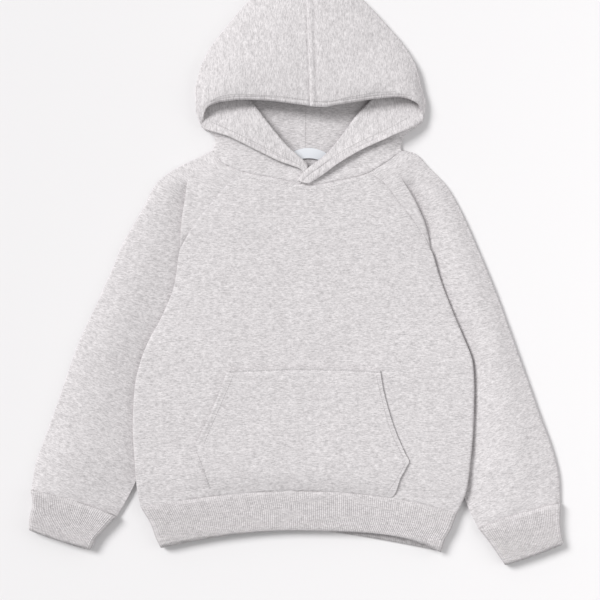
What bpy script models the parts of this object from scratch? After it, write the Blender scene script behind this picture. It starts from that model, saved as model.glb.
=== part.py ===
"""Toddler hoodie, pulled on over the head, laid flat with its front upwards.

Every piece is a thin wall of sweatshirt cloth, lofted through sections that
are worked out from the tables below.  A section crosses a piece from seam to
seam and goes round each fold on its way, so the sleeves, the body and the
hood lie in layers, as folded cloth does.

Tables are in millimetres; the model is in metres, +Z up, +Y towards the hood.
Left and right are as the garment lies, seen from above.
"""

from collections import namedtuple
from math import cos, pi, sin

import bpy

# ---- driving dimensions, in millimetres ----
WALL = 2.0              # jersey with a brushed back
RIB_WALL = 2.4          # doubled rib of cuffs and waistband
LABEL_WALL = 1.0
GAP = 0.4               # from each piece to its seam line, a little more than half the clearance
PITCH = 2.7             # from one lying layer of cloth to the next
FLOOR = WALL / 2.0      # middle of the lowest layer
FOLD = 1.6              # how far a fold's nose stands out of its layers
BODY_LOFT = 15.5        # the front's height at the middle of the chest
CROWN_LOFT = 24.0       # height of the crown of the hood
MIDDLE = 11.0           # the line down the middle of the body
FRONT_FALL = 3.0        # how late the front falls from its middle to its sides
SLEEVE_CROWN = 0.7      # roundness of a sleeve's top layer, less is squarer
CUFF_CROWN = 0.35       # and where the flat cuff is sewn to it
LIFT_FROM = 34.0        # the back comes down from the sleeves' folds between
LIFT_TO = 58.0          # these distances from a side seam
PINCH_DROP = 1.0        # a pleat's first pinch lies this much under its seam
PLEAT_DROP = 1.5        # and its fold this much
PLEAT_CROWN = 0.6       # the crown over the hood's pleats, of its full height
NECK_PART_Z = 12.0      # height of the hood's neck part in its middle
NECK_PART_RISE = 0.6    # how far that part may rise over a lower front fold
PLEAT_Z = 3.0           # height of the layer under the hood's pleats
MM = 0.001

# ---- the neck: where body, sleeves and hood meet ----
Point = namedtuple("Point", "x y z")
NECK_SEAM = [
    Point(-88.0, 121.0, 6.0),
    Point(-75.0, 106.0, 11.0),
    Point(-54.0, 98.0, 13.0),
    Point(-19.0, 91.0, 13.8),
    Point(13.0, 84.5, 14.2),
    Point(39.0, 88.0, 13.8),
    Point(71.0, 95.0, 13.0),
    Point(95.0, 108.0, 11.0),
    Point(112.0, 121.0, 6.0),
]
BACK_NECK_Y = 113.5
BACK_NECK_RISE = 0.0009

# ---- sleeves: one row for each section, neck to cuff ----
# seam: edge of the top layer; fold: where the pleat turns under; inner: where
# it turns back; outer: edge of the sleeve; back: edge of the layer below;
# top: height at the seam; crown: height of the sleeve's top layer; cover: how
# much of the section, from its inner edge, the body lies on
Sleeve = namedtuple("Sleeve", "kind seam fold inner outer back top crown cover")
LEFT_SLEEVE = [
    Sleeve("open", (-56, 98), (-80, 113), (-80, 113), (-88, 121), (-52, 117), 13.0, 8.5, 0),
    Sleeve("open", (-68, 89), (-99, 104), (-99, 104), (-107, 112), (-60, 106), 13.0, 10.0, 0),
    Sleeve("open", (-77, 80), (-113, 92), (-113, 92), (-126, 103), (-67, 95), 12.8, 10.5, 0),
    Sleeve("pleat", (-90, 65), (-117, 70), (-106, 69), (-147, 87), (-76, 76), 12.5, 11.0, 12),
    Sleeve("pleat", (-107, 43), (-121, 41), (-104, 40), (-163, 58), (-87, 48), 12.0, 12.0, 18),
    Sleeve("tuck", (-122, 17), (-122, 17), (-104, 14), (-183, 23), (-97, 16), 9.6, 13.0, 19),
    Sleeve("tuck", (-120, -20), (-120, -20), (-108, -20), (-196, -8), (-107, -20), 6.4, 13.5, 21),
    Sleeve("tube", (-117, -56), (-117, -56), (-117, -56), (-205, -28), (-117, -56), 3.7, 13.5, 26),
    Sleeve("tube", (-131, -80), (-131, -80), (-131, -80), (-217, -54), (-131, -80), 3.7, 14.0, 22),
    Sleeve("tube", (-139, -116), (-139, -116), (-139, -116), (-231, -84), (-139, -116), 3.7, 14.5, 27),
    Sleeve("tube", (-146, -148), (-146, -148), (-146, -148), (-242, -115), (-146, -148), 3.7, 14.5, 27),
    Sleeve("tube", (-157, -191), (-157, -191), (-157, -191), (-256, -156), (-157, -191), 3.7, 14.5, 15),
    Sleeve("tube", (-170, -229), (-170, -229), (-170, -229), (-270, -194), (-170, -229), 3.7, 14.0, 2),
    Sleeve("tube", (-180, -249), (-180, -249), (-180, -249), (-277, -215), (-180, -249), 3.7, 13.0, 0),
    Sleeve("end", (-191, -267), (-191, -267), (-191, -267), (-281, -239), (-191, -267), 3.7, 11.0, 0),
]
RIGHT_SLEEVE = [
    Sleeve("open", (78, 98), (104, 114), (104, 114), (112, 121), (75, 117), 13.0, 8.5, 0),
    Sleeve("open", (87, 92), (108, 105), (108, 105), (126, 119), (82, 106), 13.0, 10.0, 0),
    Sleeve("open", (96, 85), (110, 96), (110, 96), (139, 106), (89, 95), 12.8, 10.5, 0),
    Sleeve("pleat", (108, 69), (125, 69), (114, 69), (160, 84), (98, 76), 12.5, 11.0, 12),
    Sleeve("pleat", (128, 43), (138, 42), (121, 42), (177, 54), (110, 48), 12.0, 12.0, 18),
    Sleeve("tuck", (144, 17), (144, 17), (126, 14), (195, 13), (122, 16), 9.6, 13.0, 19),
    Sleeve("tuck", (146, -20), (146, -20), (134, -20), (208, -18), (134, -20), 6.4, 13.5, 20),
    Sleeve("tube", (147, -56), (147, -56), (147, -56), (217, -41), (147, -56), 3.7, 13.5, 23),
    Sleeve("tube", (157, -78), (157, -78), (157, -78), (226, -66), (157, -78), 3.7, 14.0, 24),
    Sleeve("tube", (157, -112), (157, -112), (157, -112), (236, -94), (157, -112), 3.7, 14.5, 33),
    Sleeve("tube", (157, -148), (157, -148), (157, -148), (246, -122), (157, -148), 3.7, 14.5, 34),
    Sleeve("tube", (161, -192), (161, -192), (161, -192), (259, -159), (161, -192), 3.7, 14.5, 28),
    Sleeve("tube", (175, -234), (175, -234), (175, -234), (274, -201), (175, -234), 3.7, 14.0, 8),
    Sleeve("tube", (184, -258), (184, -258), (184, -258), (280, -229), (184, -258), 3.7, 13.0, 0),
    Sleeve("end", (195, -280), (195, -280), (195, -280), (281, -253), (195, -280), 3.7, 11.0, 0),
]

# ---- body: one row for each section from the underarm to the waist ----
# fold: where the front turns under; seam: the side seam beneath it;
# hollow: height of the side seam's lower layer
Side = namedtuple("Side", "fold seam hollow")
LEFT_SIDE = [
    Side((-128, -20), (-120, -20), 1.0),
    Side((-142, -56), (-117, -56), 1.0),
    Side((-155, -80), (-127, -79), 5.8),
    Side((-163, -100), (-146, -99), 6.7),
    Side((-170, -130), (-163, -130), 6.7),
    Side((-172, -170), (-170, -170), 6.7),
    Side((-170, -208), (-168, -208), 6.7),
    Side((-168, -234), (-166, -234), 6.0),
    Side((-164, -257), (-162, -257), 1.0),
]
RIGHT_SIDE = [
    Side((153, -16), (146, -20), 1.0),
    Side((169, -56), (147, -56), 1.0),
    Side((180, -80), (154, -79), 5.8),
    Side((187, -104), (168, -103), 6.7),
    Side((189, -132), (182, -132), 6.7),
    Side((189, -170), (187, -170), 6.7),
    Side((186, -208), (184, -208), 6.7),
    Side((181, -238), (179, -238), 6.4),
    Side((171, -263), (169, -263), 1.0),
]
# how far down the middle each of the body's sections is, neck to waist
BODY_MIDDLE_Y = [84.5, 75, 65, 48, 30, 8, -24, -62, -86, -106, -130, -164, -196, -218, -240]
BACK_MIDDLE_Y = [113.5, 103, 92, 73, 46, 15, -22, -60, -86, -106, -130, -164, -196, -218, -240]

# ---- hood: one row for each section, neck seam to the seam over the head ----
# rim: front edge; brow: outline of the upper layer; fold: where the front
# is turned back; under: a point below the turned part; side: outline on the
# floor; back: seam down the back of the head; heights of rim and fold
Hood = namedtuple("Hood", "kind rim brow fold under side back rim_z fold_z")
LEFT_HOOD = [
    Hood("turned", (-1.2, 88.4), (-1.2, 88.4), (-1.2, 88.4), (-38, 96), (-88, 123), (10, 114), 16.6, 16.6),
    Hood("turned", (5, 98.8), (5, 98.8), (10, 104.2), (-36, 104), (-86, 127), (10, 123), 17.2, 16.4),
    Hood("turned", (-18, 110), (-18, 110), (2, 115), (-36, 113), (-85, 131), (10, 132), 17.4, 16.4),
    Hood("turned", (-42, 122), (-42, 122), (-10, 126), (-42, 122), (-86, 137), (10, 141), 17.4, 16.0),
    Hood("turned", (-70, 136), (-70, 136), (-22, 140), (-56, 134), (-91, 143), (10, 151), 16.5, 15.5),
    Hood("turned", (-99, 149), (-99, 149), (-36, 158), (-66, 147), (-99, 147), (10, 163), 9.4, 14.0),
    Hood("pleat", (-95, 166), (-105, 164), (-46, 172), (-70, 160), (-104, 163), (10, 178), 17.0, 13.0),
    Hood("pleat", (-78, 173), (-106, 184), (-60, 188), (-80, 182), (-105, 184), (10, 202), 19.0, 12.0),
    Hood("pleat", (-54, 175), (-101, 207), (-78, 208), (-90, 206), (-100, 207), (10, 232), 20.5, 10.0),
    Hood("plain", (-32, 174), (-92, 228), (-92, 228), (-92, 228), (-92, 228), (10, 258), 21.5, 6.0),
    Hood("plain", (-14, 172), (-77, 248), (-77, 248), (-77, 248), (-77, 248), (10, 280), 22.0, 6.0),
    Hood("plain", (1, 170), (-49, 281), (-49, 281), (-49, 281), (-49, 281), (10, 300), 22.0, 6.0),
    Hood("plain", (9, 169), (-20, 305), (-20, 305), (-20, 305), (-20, 305), (10, 308), 22.0, 6.0),
    Hood("plain", (15, 168), (10, 316), (10, 316), (10, 316), (10, 316), (10, 311), 22.0, 6.0),
]
RIGHT_HOOD = [
    Hood("turned", (15, 86.8), (15, 86.8), (2.3, 89.8), (60, 96), (112, 123), (10, 114), 17.6, 17.2),
    Hood("turned", (27.5, 94.6), (27.5, 94.6), (14.5, 102.7), (62, 104), (111, 127), (10, 123), 19.0, 18.0),
    Hood("turned", (43, 106), (43, 106), (27, 112), (68, 112), (112, 131), (10, 132), 19.0, 15.5),
    Hood("turned", (70, 122), (70, 122), (39, 124), (78, 122), (114, 137), (10, 141), 18.6, 11.0),
    Hood("turned", (100, 136), (100, 136), (50, 138), (90, 134), (120, 143), (10, 151), 17.5, 9.0),
    Hood("turned", (135, 157), (135, 157), (63, 156), (100, 148), (135, 155), (10, 163), 9.4, 8.5),
    Hood("pleat", (128, 172), (137, 172), (75, 170), (104, 162), (136, 171), (10, 178), 17.0, 13.0),
    Hood("pleat", (108, 178), (133, 189), (92, 188), (112, 184), (132, 189), (10, 202), 19.0, 12.0),
    Hood("pleat", (84, 176), (128, 209), (108, 208), (118, 207), (127, 209), (10, 232), 20.5, 10.0),
    Hood("plain", (60, 172), (115, 233), (115, 233), (115, 233), (115, 233), (10, 258), 21.5, 6.0),
    Hood("plain", (42, 169), (99, 252), (99, 252), (99, 252), (99, 252), (10, 280), 22.0, 6.0),
    Hood("plain", (30, 167), (72, 281), (72, 281), (72, 281), (72, 281), (10, 300), 22.0, 6.0),
    Hood("plain", (21, 167), (42, 304), (42, 304), (42, 304), (42, 304), (10, 308), 22.0, 6.0),
    Hood("plain", (15, 168), (10, 316), (10, 316), (10, 316), (10, 316), (10, 311), 22.0, 6.0),
]

# ---- waistband and cuffs: edges of a flat tube, seam to hem ----
# each end of the tube's width, its height, and how far the middle of its top
# layer and of its floor layer bows
# and how fast each bow falls away to the left and to the right
EVEN = (2.0, 2.0)
Band = namedtuple("Band", "left right top bow floor_bow fall floor_fall", defaults=(EVEN, EVEN))
CUFF_SEAM_BOW = 3.0
WAISTBAND = [
    Band((-164, -258), (171, -264), 11.5, 20, 20),
    Band((-153, -276), (164, -281), 11.5, 14, 14),
    Band((-148, -290), (157, -293), 11.5, 13, 11, (2.0, 2.4), (2.2, 1.8)),
    Band((-143, -300), (154, -305), 11.0, 21, 21, (1.8, 4.0), (2.6, 1.4)),
]
LEFT_CUFF = [
    Band((-281, -240), (-191, -268), 11.5, CUFF_SEAM_BOW, CUFF_SEAM_BOW),
    Band((-279, -254), (-203, -279), 11.5, -1, -1),
    Band((-282, -268), (-213, -290), 11.5, -2, -2),
    Band((-283, -281), (-219, -302), 11.0, -1, -1),
]
RIGHT_CUFF = [
    Band((195, -281), (281, -254), 11.5, CUFF_SEAM_BOW, CUFF_SEAM_BOW),
    Band((207, -295), (280, -270), 11.5, -1, -1),
    Band((216, -308), (281, -284), 11.5, -2, -2),
    Band((223, -318), (284, -296), 11.0, -1, -1),
]

# ---- pocket and label ----
Span = namedtuple("Span", "left right")
POCKET = [
    Span((-72, -111), (89, -111)),
    Span((-79, -130), (92, -130)),
    Span((-87, -150), (97, -150)),
    Span((-96, -170), (104, -174)),
    Span((-105, -190), (120, -205)),
    Span((-98, -213), (110, -226)),
    Span((-89, -243.5), (99, -245)),
]
POCKET_TOP_BOW = 3.0
POCKET_BOW = 2.0
POCKET_BASE_BOW = 5.5
LABEL_ENDS = (-8.0, 35.0)
LABEL_HEIGHT = 11.0
LABEL_Y = 116.0
LABEL_ARCH = 7.0

# ---- how finely the sections are divided ----
BODY_STEPS = 11
BACK_STEPS = 12
SLEEVE_STEPS = 8
COVERED_STEPS = 2
SLEEVE_BACK_STEPS = 5
HOOD_STEPS = 4
TURNED_POINTS = HOOD_STEPS + 7
TUBE_STEPS = 10
POCKET_STEPS = 8
LABEL_STEPS = 6


# ---------------------------------------------------------------- helpers
def mix(a, b, t):
    """The value, or point, at fraction t of the way from a to b."""
    if isinstance(a, (int, float)):
        return a + (b - a) * t
    return tuple(p + (q - p) * t for p, q in zip(a, b))


def towards(a, b, distance):
    """The plan point at a distance from a on the way to b."""
    length = ((b[0] - a[0]) ** 2 + (b[1] - a[1]) ** 2) ** 0.5
    if length < 1e-6:
        return (a[0], a[1])
    return mix((a[0], a[1]), (b[0], b[1]), distance / length)


def lift(plan, z):
    """A plan point at height z."""
    return (plan[0], plan[1], z)


def hairpin(tip, inward_above, inward_below, z_above, z_below):
    """Three points round a fold: on the upper layer, its nose, on the lower."""
    above = lift(towards(tip, inward_above, FOLD), z_above)
    nose = lift(tip, (z_above + z_below) / 2.0)
    below = lift(towards(tip, inward_below, FOLD), z_below)
    return [above, nose, below]


def between(a, b, count, crown=0.0, via=None):
    """Points inside a run from a to b, rising by crown, drawn towards via."""
    points = []
    for i in range(1, count + 1):
        t = i / (count + 1.0)
        x, y, z = mix(a, b, t)
        if via is not None:
            pull = 4.0 * t * (1.0 - t)
            x += (via[0] - (a[0] + b[0]) / 2.0) * pull
            y += (via[1] - (a[1] + b[1]) / 2.0) * pull
        z += crown * sin(pi * t) ** 0.7
        points.append((x, y, z))
    return points


def neck_point(x):
    """The neck seam's place and height over x, along the front."""
    for a, b in zip(NECK_SEAM, NECK_SEAM[1:]):
        if x <= b.x or b is NECK_SEAM[-1]:
            t = min(max((x - a.x) / (b.x - a.x), 0.0), 1.0)
            return mix(a.y, b.y, t), mix(a.z, b.z, t)


def back_neck_y(x):
    """The neck seam's place over x, along the back."""
    return BACK_NECK_Y + BACK_NECK_RISE * (x - MIDDLE) ** 2


def sheet(name, rows, wall, material, collection, ring=False):
    """A wall of cloth lofted through rows of points; meeting points become one."""
    index = {}
    vertices = []
    grid = []
    for row in rows:
        line = []
        for point in row:
            key = tuple(round(value, 3) for value in point)
            if key not in index:
                index[key] = len(vertices)
                vertices.append(tuple(value * MM for value in point))
            line.append(index[key])
        if ring:
            line.append(line[0])
        grid.append(line)
    faces = []
    for upper, lower in zip(grid, grid[1:]):
        for i in range(len(upper) - 1):
            corners = []
            for corner in (upper[i], lower[i], lower[i + 1], upper[i + 1]):
                if corner not in corners:
                    corners.append(corner)
            if len(corners) > 2:
                faces.append(corners)
    mesh = bpy.data.meshes.new(name)
    mesh.from_pydata(vertices, [], faces)
    mesh.materials.append(material)
    mesh.shade_smooth()
    obj = bpy.data.objects.new(name, mesh)
    collection.objects.link(obj)
    solid = obj.modifiers.new("Wall", "SOLIDIFY")
    solid.thickness = wall * MM
    solid.offset = 0.0
    return obj


def cloth(name, colour, roughness):
    """A plain cloth material."""
    material = bpy.data.materials.new(name)
    material.use_nodes = True
    shader = material.node_tree.nodes["Principled BSDF"]
    shader.inputs["Base Color"].default_value = (*colour, 1.0)
    shader.inputs["Roughness"].default_value = roughness
    shader.inputs["Metallic"].default_value = 0.0
    return material


# ---------------------------------------------------------------- sleeves
def covered_run(a, b, cover, crown, power):
    """Points of a sleeve's top layer: flat under the body, then a soft crown."""
    length = ((b[0] - a[0]) ** 2 + (b[1] - a[1]) ** 2) ** 0.5
    start = cover / length
    hidden = COVERED_STEPS if cover else 0
    points = []
    for i in range(1, SLEEVE_STEPS + 1):
        if i <= hidden:
            t = start * i / hidden
        else:
            t = start + (1.0 - start) * (i - hidden) / (SLEEVE_STEPS - hidden + 1.0)
        x, y, z = mix(a, b, t)
        open_share = max(0.0, (t - start) / (1.0 - start))
        base = a[2] if i <= hidden else mix(a[2], b[2], open_share)
        rise = crown - (a[2] + b[2]) / 2.0
        points.append((x, y, base + rise * sin(pi * open_share) ** power))
    return points


def sleeve_row(s, inward):
    """One section of a sleeve: seam, pleat, top layer, outer fold, lower layer."""
    seam = (s.seam[0] - inward * GAP, s.seam[1])
    low = FLOOR + PITCH
    if s.kind == "open":
        start = lift(seam, s.top)
        pinch = lift(s.fold, s.top - PINCH_DROP)
        lead = [start] + between(start, pinch, 1) + [pinch] * 6
    elif s.kind == "pleat":
        start = lift(seam, s.top)
        turn = hairpin(s.fold, seam, s.inner, s.top - PLEAT_DROP, low + PITCH)
        turn_back = hairpin(s.inner, s.fold, s.outer, low + PITCH, low)
        lead = [start] + between(start, turn[0], 1) + turn + turn_back
    elif s.kind == "tuck":
        start = lift((seam[0] + 2 * inward * GAP, seam[1]), low + PITCH)
        lead = [start] * 5 + hairpin(s.inner, s.outer, s.outer, low + PITCH, low)
    else:
        lead = [lift(s.inner, low)] * 8
    edge = hairpin(s.outer, s.inner, s.back, s.crown * 0.6, FLOOR)
    power = CUFF_CROWN if s.kind == "end" else SLEEVE_CROWN
    run = covered_run(lead[-1], edge[0], s.cover, s.crown, power)
    end = lift((s.back[0] - inward * GAP, s.back[1]), FLOOR)
    return lead + run + edge + between(edge[2], end, SLEEVE_BACK_STEPS) + [end]


def sleeve_rows(table, inward):
    """All a sleeve's sections; the first follows the neck seam."""
    rows = [sleeve_row(s, inward) for s in table]
    first = []
    for x, y, z in rows[0]:
        if z > FLOOR + 0.5:
            seam_y, seam_z = neck_point(x)
            first.append((x, seam_y - 2 * GAP, max(min(seam_z, z + 4.0), z * 0.5)))
        else:
            first.append((x, back_neck_y(x) - 2 * GAP, z))
    rows[0] = first
    for index, bow in ((-1, CUFF_SEAM_BOW), (-2, CUFF_SEAM_BOW / 2.0)):
        inner_x = table[index].inner[0]
        width = table[index].outer[0] - inner_x
        bowed = []
        for x, y, z in rows[index]:
            t = min(max((x - inner_x) / width, 0.0), 1.0)
            bowed.append((x, y + bow * 4.0 * t * (1.0 - t), z))
        rows[index] = bowed
    return rows


# ---------------------------------------------------------------- body
def front_rows():
    """The front's sections, neck to waist, each from side seam to side seam."""
    rows = []
    raglan = len(BODY_MIDDLE_Y) - len(LEFT_SIDE)
    for i, middle_y in enumerate(BODY_MIDDLE_Y):
        if i < raglan:
            ends = []
            for table, side in ((LEFT_SLEEVE, 1.0), (RIGHT_SLEEVE, -1.0)):
                s = table[i]
                inset = side * GAP if s.kind != "tuck" else 0.0
                edge = lift((s.seam[0] + inset, s.seam[1]), s.top)
                ends.append([edge] * 6)
        else:
            ends = []
            for table, side in ((LEFT_SIDE, 1.0), (RIGHT_SIDE, -1.0)):
                s = table[i - raglan]
                strip_z = max(s.hollow + PITCH, FLOOR + 2 * PITCH)
                top_z = strip_z + 1.2 * PITCH
                centre = (MIDDLE, middle_y)
                turn = hairpin(s.fold, centre, centre, top_z, strip_z)
                end = lift((s.seam[0] - side * GAP, s.seam[1]), strip_z)
                ends.append([end] + between(end, turn[2], 1) + [turn[2], turn[1], turn[0], turn[0]])
        left, right = ends
        a = left[-1]
        b = right[-1]
        main = []
        for k in range(1, BODY_STEPS + 1):
            t = k / (BODY_STEPS + 1.0)
            x = a[0] + (b[0] - a[0]) * t
            s = 2.0 * t - 1.0
            if i == 0:
                y, z = neck_point(x)
                y -= 2 * GAP
            else:
                power = 1.4 if i < 3 else 2.0
                edge_y = mix(a[1], b[1], t)
                y = middle_y + (edge_y - middle_y) * abs(s) ** power
                edge_z = mix(a[2], b[2], t)
                z = edge_z + (BODY_LOFT - edge_z) * (1.0 - abs(s) ** FRONT_FALL)
            main.append((x, y, z))
        if i == 0:
            a = (a[0], neck_point(a[0])[0] - 2 * GAP, a[2])
            b = (b[0], neck_point(b[0])[0] - 2 * GAP, b[2])
            left = [a] * 6
            right = [b] * 6
        rows.append(left[:-1] + main + right[-2::-1])
    return rows


def back_rows():
    """The back's sections, neck to waist; it lies on the floor, over the sleeves at the sides."""
    rows = []
    raglan = len(BACK_MIDDLE_Y) - len(LEFT_SIDE) + 1
    for i, middle_y in enumerate(BACK_MIDDLE_Y):
        ends = []
        for sleeve, sides, side in ((LEFT_SLEEVE, LEFT_SIDE, 1.0), (RIGHT_SLEEVE, RIGHT_SIDE, -1.0)):
            if i < raglan:
                s = sleeve[i]
                ends.append(lift((s.back[0] + side * GAP, s.back[1]), FLOOR))
            else:
                s = sides[i - raglan + 1]
                ends.append(lift((s.seam[0] + side * GAP, s.seam[1]), s.hollow))
        a, b = ends
        row = []
        for k in range(BACK_STEPS + 1):
            t = k / float(BACK_STEPS)
            t = 0.5 - 0.5 * cos(pi * t) if i >= raglan else t
            s = 2.0 * t - 1.0
            x = mix(a[0], b[0], t)
            edge_y = mix(a[1], b[1], t)
            y = back_neck_y(x) - 2 * GAP if i == 0 else middle_y + (edge_y - middle_y) * s * s
            edge_z = a[2] if s < 0.0 else b[2]
            distance = (1.0 - abs(s)) * (b[0] - a[0]) / 2.0
            down = min(max((distance - LIFT_FROM) / (LIFT_TO - LIFT_FROM), 0.0), 1.0)
            row.append((x, y, mix(edge_z, FLOOR, down)))
        rows.append(row)
    return rows


# ---------------------------------------------------------------- hood
def hood_row(h, seam_side):
    """One section of half a hood: rim, crown, turned front, neck part, back."""
    low = FLOOR + PITCH
    back = (h.back[0] + seam_side * GAP, h.back[1])
    if h.kind == "turned":
        lead = [lift(h.rim, h.rim_z)] * (HOOD_STEPS + 4)
        turn = hairpin(h.fold, h.rim, h.under, h.fold_z, h.fold_z - PITCH)
    elif h.kind == "pleat":
        start = lift(h.rim, h.rim_z)
        brow = hairpin(h.brow, h.rim, h.fold, low + 2 * PITCH, low + PITCH)
        turn = hairpin(h.fold, h.brow, h.under, low + PITCH, low)
        crown = CROWN_LOFT - (h.rim_z + brow[0][2]) / 2.0
        lead = [start] + between(start, brow[0], HOOD_STEPS, crown * PLEAT_CROWN) + brow
    else:
        start = lift((h.rim[0] + seam_side * GAP, h.rim[1]), h.rim_z)
        brow_at = (h.brow[0] + seam_side * GAP, h.brow[1])
        top = lift(towards(brow_at, h.rim, FOLD), h.fold_z + PITCH)
        nose = lift(brow_at, FLOOR + PITCH)
        crown = CROWN_LOFT - (h.rim_z + top[2]) / 2.0
        lead = [start] + between(start, top, HOOD_STEPS, crown) + [top, nose, nose]
        turn = [nose] * 3
    if h.kind == "plain":
        side = [turn[0]] * 2 + [lift(towards(brow_at, back, FOLD), FLOOR)]
        under = [turn[0]] * HOOD_STEPS
    else:
        side = hairpin(h.side, h.under, back, low + 2 * GAP, FLOOR)
        under = between(turn[2], side[0], HOOD_STEPS, 0.0, h.under)
        peak = min(NECK_PART_Z, h.fold_z + NECK_PART_RISE) if h.kind == "turned" else PLEAT_Z
        under = [
            (x, y, z + max(0.0, (peak - z)) * sin(pi * (k + 1.0) / (HOOD_STEPS + 1.0)) ** 0.6)
            for k, (x, y, z) in enumerate(under)
        ]
    end = lift(back, FLOOR)
    turned = between(lead[-1], turn[0], 1)
    return lead + turned + turn + under + side + between(side[2], end, HOOD_STEPS) + [end]


def hood_rows(table, seam_side):
    """All the sections of half a hood; below its front fold the first follows the neck seam."""
    rows = [hood_row(h, seam_side) for h in table]
    first = rows[0][:TURNED_POINTS]
    for x, y, z in rows[0][TURNED_POINTS:]:
        if z > FLOOR + 0.5:
            seam_y, seam_z = neck_point(x)
            first.append((x, seam_y + 2 * GAP, seam_z))
        else:
            first.append((x, back_neck_y(x) + 2 * GAP, z))
    rows[0] = first
    return rows


# ---------------------------------------------------------------- bands
def bowed(bow, fall, t):
    """How far an edge bows at fraction t of its width."""
    return bow * (1.0 - abs(2.0 * t - 1.0) ** fall[t > 0.5])


def band_rows(table, gap_first):
    """The rings of a flat tube of rib, seam to hem, floor layer and top layer."""
    rows = []
    low = RIB_WALL / 2.0
    for i, band in enumerate(table):
        left = band.left
        right = band.right
        shift = -gap_first if i == 0 else 0.0
        inner_left = towards(left, right, FOLD)
        inner_right = towards(right, left, FOLD)
        ring = []
        for k in range(TUBE_STEPS + 1):
            t = k / float(TUBE_STEPS)
            x, y = mix(inner_left, inner_right, t)
            bow = bowed(band.bow, band.fall, t)
            z = band.top * (0.8 + 0.2 * sin(pi * t))
            ring.append((x, y + bow + shift, z))
        ring.append((right[0], right[1] + shift, (band.top * 0.8 + low) / 2.0))
        for k in range(TUBE_STEPS + 1):
            t = 1.0 - k / float(TUBE_STEPS)
            x, y = mix(inner_left, inner_right, t)
            bow = bowed(band.floor_bow, band.floor_fall, t)
            ring.append((x, y + bow + shift, low))
        ring.append((left[0], left[1] + shift, (band.top * 0.8 + low) / 2.0))
        rows.append(ring)
    return rows


# ---------------------------------------------------------------- pocket and label
def front_height(x, y, rows):
    """Height of the front's middle surface at a plan point, read off its sections."""
    best = None
    for upper, lower in zip(rows, rows[1:]):
        for i in range(len(upper) - 1):
            a, b, c, d = upper[i], upper[i + 1], lower[i], lower[i + 1]
            if not (a[0] < b[0] and c[0] < d[0]):
                continue
            if min(a[0], c[0]) - 0.01 <= x <= max(b[0], d[0]) + 0.01:
                tx = min(max((x - a[0]) / (b[0] - a[0]), 0.0), 1.0)
                sx = min(max((x - c[0]) / (d[0] - c[0]), 0.0), 1.0)
                y_top = mix(a[1], b[1], tx)
                y_low = mix(c[1], d[1], sx)
                if y_low - 0.01 <= y <= y_top + 0.01:
                    t = (y_top - y) / max(y_top - y_low, 1e-6)
                    z = mix(mix(a[2], b[2], tx), mix(c[2], d[2], sx), t)
                    best = z if best is None else max(best, z)
    return best


def pocket_rows(front):
    """The pocket's rows, lying on the front's own surface."""
    rows = []
    for i, span in enumerate(POCKET):
        share = i / (len(POCKET) - 1.0)
        bow = POCKET_BOW
        if i in (0, len(POCKET) - 1):
            bow = mix(POCKET_TOP_BOW, POCKET_BASE_BOW, share)
        row = []
        for k in range(POCKET_STEPS + 1):
            t = k / float(POCKET_STEPS)
            x, y = mix(span.left, span.right, t)
            y += bow * 4.0 * t * (1.0 - t)
            row.append((x, y, front_height(x, y, front) + WALL + 3 * GAP))
        rows.append(row)
    return rows


def label_rows():
    """The label at the back of the neck, a short arched strip."""
    rows = []
    for low in (LABEL_HEIGHT, 0.0):
        row = []
        for k in range(LABEL_STEPS + 1):
            t = k / float(LABEL_STEPS)
            x = mix(LABEL_ENDS[0], LABEL_ENDS[1], t)
            y = LABEL_Y + low - LABEL_HEIGHT / 2.0 + LABEL_ARCH * (4.0 * t * (1.0 - t) - 0.5)
            row.append((x, y, FLOOR + WALL / 2.0 + LABEL_WALL / 2.0 + 2 * GAP))
        rows.append(row)
    return rows


# ---------------------------------------------------------------- the hoodie
def build():
    """Clear the scene and make every piece of the hoodie."""
    for obj in list(bpy.data.objects):
        bpy.data.objects.remove(obj, do_unlink=True)
    collection = bpy.data.collections.new("toddler_hoodie")
    bpy.context.scene.collection.children.link(collection)
    jersey = cloth("grey_heather_jersey", (0.68, 0.67, 0.68), 0.9)
    rib = cloth("grey_heather_rib", (0.6, 0.59, 0.6), 0.9)
    tape = cloth("white_label_tape", (0.85, 0.87, 0.9), 0.6)

    front = front_rows()
    sheet("body_front", front, WALL, jersey, collection)
    sheet("body_back", back_rows(), WALL, jersey, collection)
    sheet("sleeve_left", sleeve_rows(LEFT_SLEEVE, 1.0), WALL, jersey, collection)
    sheet("sleeve_right", sleeve_rows(RIGHT_SLEEVE, -1.0), WALL, jersey, collection)
    sheet("hood_left", hood_rows(LEFT_HOOD, -1.0), WALL, jersey, collection)
    sheet("hood_right", hood_rows(RIGHT_HOOD, 1.0), WALL, jersey, collection)
    sheet("pocket", pocket_rows(front), WALL, jersey, collection)
    sheet("waistband", band_rows(WAISTBAND, 3 * GAP), RIB_WALL, rib, collection, ring=True)
    sheet("cuff_left", band_rows(LEFT_CUFF, 3 * GAP), RIB_WALL, rib, collection, ring=True)
    sheet("cuff_right", band_rows(RIGHT_CUFF, 3 * GAP), RIB_WALL, rib, collection, ring=True)
    sheet("neck_label", label_rows(), LABEL_WALL, tape, collection)


build()
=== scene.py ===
"""Looks of a toddler hoodie that lies flat with its front upwards.

Each piece of cloth starts as a flat grid.  Its points are laid through
sections that run from seam to seam and round every fold, soft creases are
pressed in, and a Solidify modifier gives the wall.  Lengths inside the
classes are in millimetres; meshes are written in metres.
"""

import logging
from collections.abc import Callable, Sequence
from dataclasses import dataclass, replace
from enum import Enum
from math import pi, radians
from typing import Optional

import bpy
import numpy as np
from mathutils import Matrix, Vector, noise
from mathutils.bvhtree import BVHTree


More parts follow.
